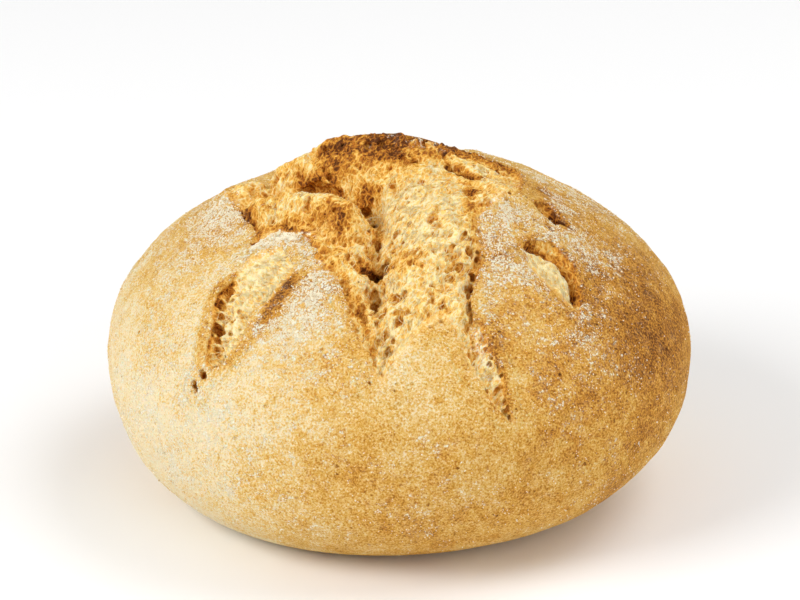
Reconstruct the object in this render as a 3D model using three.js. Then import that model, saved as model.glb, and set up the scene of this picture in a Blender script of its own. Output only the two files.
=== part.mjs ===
// A round crusty bread roll, burst open across its top while it baked.
// Millimetres, +Z up, origin at the centre of the flat base, front at -Y.
//
// The roll is one solid. A sphere of small triangles is laid over a smooth dome, and each of its points is then
// moved along the dome's normal by the relief: lifted petals of crust, torn openings, crevices and crumb mounds.
// Places on the crust are given as [u, v]: millimetres over the surface from the apex, to the right and to the back.

import * as THREE from "three";
import { mergeVertices } from "three/addons/utils/BufferGeometryUtils.js";

const { smoothstep, lerp } = THREE.MathUtils;

// Driving dimensions.
const WIDTH = 100;
const DEPTH = 97;
const DOME_HEIGHT = 58.6;
const WIDEST_HEIGHT = 24.5;
const BASE_RADIUS = 31.5;
const BASE_DRIFT = -3.5; // how far the base lies to the right of the roll's middle

// How full the dome and the underside are: 2 is an ellipse, less is more conical, more is boxier.
const DOME_FULLNESS = { across: 1.45, up: 2.05 };
const UNDERSIDE_FULLNESS = { across: 1.45, up: 2.3 };

// Mesh: steps along each edge of the icosahedron, and how strongly its points crowd towards the torn top.
const SPHERE_DETAIL = 20;
const TOP_CROWDING = 1.25;
const MERIDIAN_STEPS = 400;

// The waviness of a hand-shaped outline: how many waves around, how high and where the first one starts.
const OUTLINE_WAVES = [
  { count: 2, height: 0.3, start: 0.45 },
  { count: 3, height: 0.3, start: 1.5 },
  { count: 5, height: 0.25, start: 4.4 },
];

// Openings torn in the crust. The crumb inside starts drop below the crust's edge, which curls up by curl.
const OPENINGS = [
  {
    // The central burst: back lip, right tip, right side, foot of the valley, left ridge.
    outline: [
      [-25, 5], [-19, 6.5], [-12, 6], [-4, 5], [2, 5], [8, 6.5], [14, 9], [21, 9.5],
      [19, 6], [14, 0.5], [12, -8], [12, -16], [12.5, -27], [11.5, -34], [10, -37.5],
      [6, -38.5], [3, -41], [-1, -46], [-4, -51],
      [-6.5, -44], [-8, -38], [-10, -32], [-14, -25], [-16.5, -19], [-19, -13.5],
      [-24, -10.5], [-26.5, -4], [-27, 0],
    ],
    drop: 2.4,
    curl: 0.8,
  },
  {
    // The left tear, from the floured bridge down to a point.
    outline: [
      [-25.5, -15], [-21, -16.5], [-17, -19], [-16, -23.5], [-19, -25], [-24, -27], [-26, -30],
      [-28, -34.5], [-31, -38], [-36, -40], [-39.5, -41], [-37.5, -37.5], [-36, -31], [-34, -24],
      [-30, -19],
    ],
    drop: 1.6,
    curl: 0.7,
  },
  {
    // The lower half of the right slit.
    outline: [
      [9.5, -37.5], [11.5, -42], [14, -46.5], [17.5, -50.5], [20.3, -53.5],
      [18.6, -48.5], [16, -43.5], [13.5, -39.5], [12, -37],
    ],
    drop: 1.2,
    curl: 0.4,
  },
  {
    // The right crescent.
    outline: [
      [21, -16.5], [24, -19.5], [27.5, -22.5], [30.5, -26], [32, -29], [31.8, -24], [29.5, -20], [26, -17.5],
    ],
    drop: 1.4,
    curl: 0.8,
  },
  {
    // The short slit above the crescent.
    outline: [[24, -1.5], [25.5, -4.2], [28, -6.3], [30, -7], [28.6, -4.2], [26.5, -2]],
    drop: 1.2,
    curl: 0.5,
  },
  {
    // A crescent on the back, to the left.
    outline: [[-12, 30], [-17, 34], [-22, 36.5], [-27, 37], [-23, 33.5], [-18, 31]],
    drop: 1.4,
    curl: 0.7,
  },
  {
    // A slit on the back, to the right.
    outline: [[14, 26], [16.5, 31], [20.5, 35.5], [24, 38.5], [21.5, 33.5], [18, 29]],
    drop: 1.2,
    curl: 0.5,
  },
];

// Crevices where the crumb pulled apart: a route, how deep it is and how wide.
const CREVICES = [
  {
    route: [[-24, 4], [-17, -1], [-13.5, -4.5], [-9, -7], [-5, -9], [0, -6], [5, -2.5], [12, 2.5], [20, 7.5]],
    depth: 5.5,
    width: 3,
  },
  {
    route: [[-5, -9], [-4, -20], [-4, -28], [-4, -34], [-3, -40], [-3, -46], [-4, -50.5]],
    depth: 6,
    width: 5,
  },
  { route: [[-31, -23], [-34.5, -30], [-36, -36], [-38.5, -40]], depth: 3.2, width: 2.6 },
  {
    route: [[13.5, -19], [12, -27], [11, -34], [11, -38], [14, -42], [16.5, -46.5], [20, -53]],
    depth: 3,
    width: 1.5,
  },
  { route: [[21.5, -17], [26.5, -19.3], [30, -22.5], [32, -28.5]], depth: 3.2, width: 1.6 },
  { route: [[24.5, -2], [27, -4.2], [29.5, -6.8]], depth: 2.6, width: 1.4 },
  { route: [[-13, 31], [-18, 33.5], [-25, 36.2]], depth: 2.8, width: 1.6 },
  { route: [[15, 27.5], [19, 32.5], [23.3, 37.5]], depth: 2.4, width: 1.4 },
];

// Swellings, which taper off over spread to the sides and to the front and back.
const CRUMB_MOUNDS = [
  { at: [-12, -12.5], spread: [9, 6], rise: 3.4 },
  { at: [7, -20], spread: [7, 17], rise: 3 },
  { at: [-23, -22], spread: [5, 4], rise: 1.4 },
];
const LIFTED_CRUST = [
  { at: [-4, 6], spread: [15, 9], rise: 3.2 },
  { at: [-28, 2], spread: [4.5, 5], rise: 2.4 },
  { at: [-13, -24], spread: [4, 9], rise: 1 },
  { at: [16, -10], spread: [6, 9], rise: 0.8 },
];

const CURL_WIDTH = 2.5;
const EDGE_SOFTNESS = 1.2;

const CRUST_COLOUR = 0xd9a75c;

// One meridian of the smooth dome, from the apex to the centre of the base, as points with the arc length so far.
function makeMeridian() {
  const widest = WIDTH / 2;
  const points = [];
  for (let i = 0; i <= MERIDIAN_STEPS; i++) {
    const angle = (i / MERIDIAN_STEPS) * (Math.PI / 2);
    points.push({
      radius: widest * Math.sin(angle) ** (2 / DOME_FULLNESS.across),
      height: lerp(WIDEST_HEIGHT, DOME_HEIGHT, Math.cos(angle) ** (2 / DOME_FULLNESS.up)),
    });
  }
  for (let i = 1; i <= MERIDIAN_STEPS; i++) {
    const angle = (i / MERIDIAN_STEPS) * (Math.PI / 2);
    points.push({
      radius: lerp(BASE_RADIUS, widest, Math.cos(angle) ** (2 / UNDERSIDE_FULLNESS.across)),
      height: WIDEST_HEIGHT * (1 - Math.sin(angle) ** (2 / UNDERSIDE_FULLNESS.up)),
    });
  }
  points.push({ radius: 0, height: 0 });
  let arc = 0;
  points.forEach((point, i) => {
    if (i > 0) arc += Math.hypot(point.radius - points[i - 1].radius, point.height - points[i - 1].height);
    point.arc = arc;
  });
  return points;
}

const MERIDIAN = makeMeridian();
const MERIDIAN_LENGTH = MERIDIAN[MERIDIAN.length - 1].arc;

// The point of the meridian at an arc length from the apex, with its outward normal.
function onMeridian(arc) {
  let low = 0;
  let high = MERIDIAN.length - 1;
  while (high - low > 1) {
    const middle = (low + high) >> 1;
    if (MERIDIAN[middle].arc > arc) high = middle;
    else low = middle;
  }
  const [a, b] = [MERIDIAN[low], MERIDIAN[high]];
  const share = (arc - a.arc) / (b.arc - a.arc);
  const step = b.arc - a.arc;
  return {
    radius: lerp(a.radius, b.radius, share),
    height: lerp(a.height, b.height, share),
    normalOut: -(b.height - a.height) / step,
    normalUp: (b.radius - a.radius) / step,
  };
}

function distanceToSegment(u, v, [u0, v0], [u1, v1]) {
  const [du, dv] = [u1 - u0, v1 - v0];
  const share = THREE.MathUtils.clamp(((u - u0) * du + (v - v0) * dv) / (du * du + dv * dv), 0, 1);
  return Math.hypot(u - u0 - share * du, v - v0 - share * dv);
}

function distanceToRoute(u, v, route) {
  let nearest = Infinity;
  for (let i = 1; i < route.length; i++) {
    nearest = Math.min(nearest, distanceToSegment(u, v, route[i - 1], route[i]));
  }
  return nearest;
}

// How far a place lies inside an outline: positive inside, negative outside.
function depthInside(u, v, outline) {
  let inside = false;
  outline.forEach(([u1, v1], i) => {
    const [u0, v0] = outline.at(i - 1);
    if (v0 > v !== v1 > v && u < ((u1 - u0) * (v - v0)) / (v1 - v0) + u0) inside = !inside;
  });
  const distance = distanceToRoute(u, v, [outline.at(-1), ...outline]);
  return inside ? distance : -distance;
}

function swelling(u, v, { at, spread, rise }) {
  return rise * Math.exp(-(((u - at[0]) / spread[0]) ** 2) - ((v - at[1]) / spread[1]) ** 2);
}

// How far the surface at [u, v] stands out from the smooth dome.
function relief(u, v) {
  const lift = LIFTED_CRUST.reduce((sum, one) => sum + swelling(u, v, one), 0);
  const mounds = CRUMB_MOUNDS.reduce((sum, one) => sum + swelling(u, v, one), 0);
  const crevices = CREVICES.reduce(
    (sum, { route, depth, width }) => sum + depth * Math.exp(-((distanceToRoute(u, v, route) / width) ** 2)),
    0,
  );
  let curl = 0;
  let torn = 0;
  let crumb = 0;
  for (const opening of OPENINGS) {
    const inside = depthInside(u, v, opening.outline);
    const share = smoothstep(inside, -EDGE_SOFTNESS, EDGE_SOFTNESS);
    curl += opening.curl * Math.exp(-((inside / CURL_WIDTH) ** 2));
    torn = Math.max(torn, share);
    crumb = Math.max(crumb, share * opening.drop);
  }
  return lift + curl * (1 - torn) - crumb + torn * (mounds - crevices);
}

function outlineWave(azimuth) {
  return OUTLINE_WAVES.reduce((sum, { count, height, start }) => sum + height * Math.cos(count * azimuth + start), 0);
}

// The roll's surface at an arc length from the apex and an azimuth.
function onRoll(arc, azimuth) {
  const { radius, height, normalOut, normalUp } = onMeridian(arc);
  const out = relief(arc * Math.cos(azimuth), arc * Math.sin(azimuth));
  const reach = radius + out * normalOut + outlineWave(azimuth) * (radius / (WIDTH / 2)) ** 2;
  const drift = BASE_DRIFT * Math.max(0, 1 - height / WIDEST_HEIGHT) ** 2;
  return new THREE.Vector3(
    reach * Math.cos(azimuth) + drift,
    reach * Math.sin(azimuth) * (DEPTH / WIDTH),
    Math.max(0, height + out * normalUp),
  );
}

function makeRollGeometry() {
  const sphere = new THREE.IcosahedronGeometry(1, SPHERE_DETAIL);
  sphere.deleteAttribute("normal");
  sphere.deleteAttribute("uv");
  const geometry = mergeVertices(sphere, 1e-4);
  const position = geometry.getAttribute("position");
  for (let i = 0; i < position.count; i++) {
    const point = new THREE.Vector3().fromBufferAttribute(position, i).normalize();
    const polar = Math.acos(THREE.MathUtils.clamp(point.z, -1, 1));
    const arc = MERIDIAN_LENGTH * (polar / Math.PI) ** TOP_CROWDING;
    position.setXYZ(i, ...onRoll(arc, Math.atan2(point.y, point.x)));
  }
  // The waves shift the outline a little, so its box is centred on the origin again.
  geometry.computeBoundingBox();
  const centre = geometry.boundingBox.getCenter(new THREE.Vector3());
  geometry.translate(-centre.x, -centre.y, 0);
  geometry.computeVertexNormals();
  return geometry;
}

const roll = new THREE.Group();
const body = new THREE.Mesh(
  makeRollGeometry(),
  new THREE.MeshStandardMaterial({ color: CRUST_COLOUR, roughness: 0.85, metalness: 0 }),
);
body.name = "bread_roll";
roll.add(body);

export default roll;
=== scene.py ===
"""A round crusty bread roll, burst open across its top while it baked.

The roll is shaped in millimetres and made in metres. A place on its skin is given as [u, v]: millimetres
over the surface from the apex, to the right and to the back. A height is how far a point stands out from
the smooth dome, along the dome's normal.

The skin is a fine sphere laid over the dome and moved by its relief. Each place where the crumb shows is a
volume of its own: a block of crumb with bubbles taken out of it and a ragged edge of crust round it.
"""

import logging
import math
from dataclasses import dataclass
from enum import Enum
from functools import cached_property

import bmesh
import bpy
import numpy as np
import openvdb
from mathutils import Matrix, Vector
from mathutils.kdtree import KDTree


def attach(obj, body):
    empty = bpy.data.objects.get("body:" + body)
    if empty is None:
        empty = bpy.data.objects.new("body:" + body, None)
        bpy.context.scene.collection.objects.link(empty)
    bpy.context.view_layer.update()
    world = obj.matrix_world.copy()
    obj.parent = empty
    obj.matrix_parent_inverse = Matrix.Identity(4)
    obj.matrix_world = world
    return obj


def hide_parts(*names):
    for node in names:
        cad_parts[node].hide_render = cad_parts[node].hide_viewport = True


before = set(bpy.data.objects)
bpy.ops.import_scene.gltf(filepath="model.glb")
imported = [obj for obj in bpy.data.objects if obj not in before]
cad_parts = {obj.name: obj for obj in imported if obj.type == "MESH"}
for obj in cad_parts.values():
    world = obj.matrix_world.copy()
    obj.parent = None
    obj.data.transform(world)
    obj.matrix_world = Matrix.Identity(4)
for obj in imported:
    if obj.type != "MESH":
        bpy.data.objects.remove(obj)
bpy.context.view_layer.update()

MM = 0.001
ROLL_NODE = "bread_roll"
BODY = "root"
MOST_FACES = 196000
LEAST_LENGTH = 1e-6
LEAST_AREA = 1e-12
CRUMB_SEED = 100

Array = np.ndarray
Socket = bpy.types.NodeSocket
Route = tuple[tuple[float, float], ...]

log = logging.getLogger("roll")


# --------------------------------------------------------------------------------------------------
# Slopes, noise and distances
# --------------------------------------------------------------------------------------------------


def ramp(value: Array, start: float | Array, end: float | Array) -> Array:
    """Rise smoothly from 0 at start to 1 at end, which may be below start, for a fall."""
    share = np.clip((value - start) / (end - start), 0.0, 1.0)
    return share * share * (3.0 - 2.0 * share)


@dataclass(frozen=True)
class Slope:
    """A smooth rise of something, or a fall where the end is below the start."""

    start: float
    end: float
    amount: float = 1.0

    def at(self, value: Array) -> Array:
        """How far it has risen at each value."""
        return self.amount * ramp(value, self.start, self.end)


def smooth_min(first: Array, second: Array, softness: float) -> Array:
    """Take the lower of two fields, rounding the crease between them over a width of softness."""
    share = np.clip(0.5 + 0.5 * (second - first) / softness, 0.0, 1.0)
    return second + (first - second) * share - softness * share * (1.0 - share)


def flat_points(skin: Array) -> Array:
    """Give places on the skin a third number, 0, so that noise can be read there."""
    return np.column_stack([skin, np.zeros(len(skin))])


class LatticeNoise:
    """Smooth random values on a lattice that repeats every PERIOD cells. Layers are read SHIFT apart."""

    PERIOD = 64
    SHIFT = 17.3

    def __init__(self, seed: int) -> None:
        """Draw the lattice from a seed."""
        self.values = np.random.default_rng(seed).uniform(-1, 1, (self.PERIOD,) * 3).astype(np.float32)

    def at(self, points: Array, cell: float | tuple[float, float, float]) -> Array:
        """Read the noise.

        Args:
            points: An (n, 3) array of places.
            cell: How large a cell of the lattice is, or its three sides.

        Returns:
            A value from -1 to 1 for each point.
        """
        place = points / np.asarray(cell, dtype=np.float32)
        corner = np.floor(place)
        share = place - corner
        share = share * share * (3.0 - 2.0 * share)
        index = corner.astype(np.int64)
        total = np.zeros(len(points), dtype=np.float32)
        for step in np.ndindex(2, 2, 2):
            weight = np.abs(1 - np.array(step) - share).prod(axis=1)
            wrapped = (index + step) % self.PERIOD
            total += weight * self.values[wrapped[:, 0], wrapped[:, 1], wrapped[:, 2]]
        return total

    def layered(
        self, points: Array, cell: float | tuple[float, float, float], layers: int, fade: float
    ) -> Array:
        """Add up noise at finer and finer cells.

        Args:
            points: An (n, 3) array of places.
            cell: How large the largest cell is, or its three sides.
            layers: How many layers, each of half the cell before it.
            fade: How much weaker each layer is than the one before.

        Returns:
            A value of about -1 to 1 for each point.
        """
        parts = (
            fade**layer * self.at(points + self.SHIFT * layer, np.asarray(cell) / 2**layer)
            for layer in range(layers)
        )
        return sum(parts)


@dataclass(frozen=True)
class Unevenness:
    """Random lumps, clouds or clumps of something, read from a noise at a start of its own."""

    amount: float
    width: float | tuple[float, float, float]
    start: float = 0.0
    middle: float = 0.0
    layers: int = 1
    fade: float = 0.5

    def over(self, noise: LatticeNoise, points: Array) -> Array:
        """Work out how much of it each place of an (n, 3) array gets."""
        read = noise.layered(points + self.start, self.width, self.layers, self.fade)
        return self.middle + self.amount * read


def all_over(layers: tuple[Unevenness, ...], noise: LatticeNoise, points: Array) -> Array:
    """Add up layers of unevenness at each place of an (n, 3) array."""
    return sum(layer.over(noise, points) for layer in layers)


def along_route(places: Array, route: Array) -> tuple[Array, Array]:
    """Find the nearest point of a route of straight stretches.

    Args:
        places: An (n, 2) array.
        route: A (k, 2) array of the route's points.

    Returns:
        How far each place is from the route, and how far along the route its nearest point is.
    """
    nearest = np.full(len(places), np.inf)
    arc = np.zeros(len(places))
    before = 0.0
    for start, end in zip(route[:-1], route[1:]):
        way = end - start
        length = math.hypot(*way)
        share = np.clip(((places - start) @ way) / length**2, 0.0, 1.0)
        gap = places - start - share[:, None] * way
        distance = np.hypot(gap[:, 0], gap[:, 1])
        arc = np.where(distance < nearest, before + share * length, arc)
        nearest = np.minimum(nearest, distance)
        before += length
    return nearest, arc


def depth_inside(places: Array, outline: Array) -> Array:
    """Measure how far each place is inside a closed outline.

    Args:
        places: An (n, 2) array.
        outline: A (k, 2) array of the outline's corners.

    Returns:
        The distance to the outline, positive inside and negative outside.
    """
    inside = np.zeros(len(places), dtype=bool)
    for start, end in zip(np.roll(outline, 1, axis=0), outline):
        if start[1] == end[1]:
            continue
        crosses = (start[1] > places[:, 1]) != (end[1] > places[:, 1])
        reach = (end[0] - start[0]) * (places[:, 1] - start[1]) / (end[1] - start[1]) + start[0]
        inside ^= crosses & (places[:, 0] < reach)
    distance = along_route(places, np.vstack([outline[-1:], outline]))[0]
    return np.where(inside, distance, -distance)


# --------------------------------------------------------------------------------------------------
# The roll's shape
# --------------------------------------------------------------------------------------------------


@dataclass(frozen=True)
class Dome:
    """The smooth shape that the dough had before it burst, in millimetres."""

    width: float = 100.0
    depth: float = 97.0
    height: float = 58.6
    widest_height: float = 24.5
    base_radius: float = 31.5
    base_drift: float = -3.5
    fullness_across: float = 1.45
    fullness_up: float = 2.05
    underside_across: float = 1.45
    underside_up: float = 2.3
    waves: tuple[tuple[int, float, float], ...] = ((2, 0.3, 0.45), (3, 0.3, 1.5), (5, 0.25, 4.4))
    centring: tuple[float, float] = (0.55, -0.45)
    top_crowding: float = 1.25
    steps: int = 600

    @cached_property
    def meridian(self) -> Array:
        """Work out one meridian, from the apex to the centre of the base.

        Returns:
            Rows of arc length, radius, height and the normal's outward and upward parts.
        """
        angle = np.linspace(0.0, math.pi / 2, self.steps)
        widest, rise = self.width / 2, self.height - self.widest_height
        upper_radius = widest * np.sin(angle) ** (2 / self.fullness_across)
        upper_height = self.widest_height + rise * np.cos(angle) ** (2 / self.fullness_up)
        bulge = widest - self.base_radius
        lower_radius = self.base_radius + bulge * np.cos(angle) ** (2 / self.underside_across)
        lower_height = self.widest_height * (1 - np.sin(angle) ** (2 / self.underside_up))
        radius = np.concatenate([upper_radius, lower_radius[1:], [0.0]])
        height = np.concatenate([upper_height, lower_height[1:], [0.0]])
        arc = np.concatenate([[0.0], np.cumsum(np.hypot(np.diff(radius), np.diff(height)))])
        out, up = -np.gradient(height, arc), np.gradient(radius, arc)
        length = np.hypot(out, up)
        return np.stack([arc, radius, height, out / length, up / length])

    def place(self, skin: Array, stand_out: Array | float = 0.0) -> Array:
        """Find where points of the roll are.

        Args:
            skin: An (n, 2) array of [u, v].
            stand_out: How far each point stands out from the dome.

        Returns:
            An (n, 3) array of places in millimetres.
        """
        arcs, radii, heights, outs, ups = self.meridian
        arc = np.hypot(skin[:, 0], skin[:, 1])
        azimuth = np.arctan2(skin[:, 1], skin[:, 0])
        radius = np.interp(arc, arcs, radii)
        height = np.interp(arc, arcs, heights)
        breadth = (radius / (self.width / 2)) ** 2
        wave = sum(tall * np.cos(count * azimuth + start) for count, tall, start in self.waves)
        reach = radius + stand_out * np.interp(arc, arcs, outs) + wave * breadth
        drift = self.base_drift * np.maximum(0.0, 1 - height / self.widest_height) ** 2
        across = reach * np.cos(azimuth) + drift + self.centring[0] * breadth
        along = reach * np.sin(azimuth) * self.depth / self.width + self.centring[1] * breadth
        up = np.maximum(0.0, height + stand_out * np.interp(arc, arcs, ups))
        return np.stack([across, along, up], axis=1)

    def skin_of(self, directions: Array) -> Array:
        """Lay directions from the middle over the dome, crowded towards the top.

        Args:
            directions: An (n, 3) array of unit vectors.

        Returns:
            An (n, 2) array of [u, v].
        """
        polar = np.arccos(np.clip(directions[:, 2], -1.0, 1.0))
        arc = self.meridian[0, -1] * (polar / math.pi) ** self.top_crowding
        azimuth = np.arctan2(directions[:, 1], directions[:, 0])
        return np.stack([arc * np.cos(azimuth), arc * np.sin(azimuth)], axis=1)


@dataclass(frozen=True)
class Blob:
    """A soft round patch of something: a swelling, a browned spot or a dusting of flour."""

    at: tuple[float, float]
    spread: tuple[float, float]
    amount: float

    def over(self, skin: Array) -> Array:
        """Work out how much of it each place on the skin gets."""
        across, along = ((skin - np.asarray(self.at)) / np.asarray(self.spread)).T
        return self.amount * np.exp(-(across**2) - along**2)


@dataclass(frozen=True)
class Band:
    """A soft strip of something along a route: a ridge, a crevice or a browned edge."""

    route: Route
    amount: float
    width: float

    def over(self, skin: Array) -> Array:
        """Work out how much of it each place on the skin gets."""
        distance = along_route(skin, np.array(self.route))[0]
        return self.amount * np.exp(-((distance / self.width) ** 2))


Patches = tuple[Blob | Band, ...]


def total_of(patches: Patches, skin: Array) -> Array:
    """Add up soft patches at each place on the skin."""
    return sum((patch.over(skin) for patch in patches), np.zeros(len(skin)))


@dataclass(frozen=True)
class Tear:
    """An opening in the crust, and the crumb that shows in it.

    Turn is the way that its fibres run, in degrees from u to v. Air says how open the crumb is, from 0 for
    close to 1 for holes throughout. Flush is 1 where crust and crumb pass into each other without a step.
    Pockets are single holes, each with its place and radius. Nicks are small cracks beside the opening,
    each with half its width.
    """

    name: str
    outline: Route
    turn: float
    drop: float
    curl: float
    shape: Patches
    # Some of these bands are painted shade, in valleys, holes and caves.
    toast_and_shade: Patches = ()
    plain_toast: float = 0.1
    air: Patches = ()
    plain_air: float = 0.3
    flush: Patches = ()
    pockets: tuple[tuple[float, float, float], ...] = ()
    nicks: tuple[tuple[Route, float], ...] = ()

    @property
    def corners(self) -> Array:
        """The points of the outline and of the nicks."""
        return np.vstack([self.outline, *(route for route, _ in self.nicks)])

    def inside(self, skin: Array) -> Array:
        """Measure how far each place is inside the opening or a nick.

        Args:
            skin: An (n, 2) array of [u, v].

        Returns:
            The distance to the edge, negative outside.
        """
        deepest = depth_inside(skin, np.array(self.outline))
        for route, half_width in self.nicks:
            deepest = np.maximum(deepest, half_width - along_route(skin, np.array(route))[0])
        return deepest

    def flushness(self, skin: Array) -> Array:
        """Tell where crust and crumb pass into each other, 0 to 1."""
        return np.clip(total_of(self.flush, skin), 0.0, 1.0)

    def grained(self, skin: Array) -> Array:
        """Turn places on the skin so that their first number runs along the fibres."""
        angle = math.radians(self.turn)
        along = skin[:, 0] * math.cos(angle) + skin[:, 1] * math.sin(angle)
        return np.column_stack([along, skin[:, 1] * math.cos(angle) - skin[:, 0] * math.sin(angle)])


BACK_LIP = ((-24, 4.5), (-19, 6.0), (-12, 6.5), (-4, 6.2), (3, 6.5), (9, 7.6), (15, 8.8), (21, 9.3))
BACK_CREVICE = ((-23, -1.5), (-18.5, -2.2), (-15, -4.0), (-11.5, -5.4), (-8.5, -7.6), (-5.6, -9.6))
RIGHT_CREVICE = ((-5, -9.8), (-1, -8.0), (4, -5.5), (9, -2.0))
VALLEY = ((-5.4, -10.5), (-4.2, -16), (-4, -24), (-4.6, -32))
VALLEY_FOOT = ((-4.4, -36.0), (-4.0, -41), (-3.8, -47))
RIGHT_SLIT = ((14.0, -22.5), (13.3, -27), (12.8, -31), (12.2, -36))
RIGHT_TAIL = ((13.4, -39.5), (15.4, -43.8), (17.6, -47.8), (19.6, -52.4))
LEFT_WALL = ((-16.8, -18.8), (-15.2, -22.8), (-13, -27), (-10.4, -30), (-8.8, -33.5), (-7.4, -37))
HIDDEN_CAVE = ((-17.2, 0.4), (-15.0, -0.8), (-12.0, -2.4))
PETAL_RIM = ((-19.2, -28.6), (-21.2, -31.4), (-23.6, -34.2), (-25.4, -36.2), (-28.2, -38.6), (-31.2, -40.6))
LEFT_TEAR_RIM = ((-29.5, -23.4), (-32.6, -23.6), (-34.6, -26.5), (-35.6, -30), (-37, -35), (-37.6, -38))
CRESCENT_CREVICE = ((21.4, -19.4), (24.6, -19.3), (27.0, -20.2), (28.9, -22.2), (30.4, -25.2), (31.2, -28.8))
CRESCENT_EDGE = ((21.4, -18.8), (25.0, -18.3), (27.5, -19.1), (29.4, -21.0), (30.8, -24.2), (31.4, -28))
CRESCENT_LINE = ((22.4, -19.0), (25.4, -19.1), (27.0, -19.8), (28.6, -21.3), (30.1, -24.0), (30.9, -27.6))
SLIT_CREVICE = ((24.6, -7.2), (26.4, -8.0), (28.2, -9.8))

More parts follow.
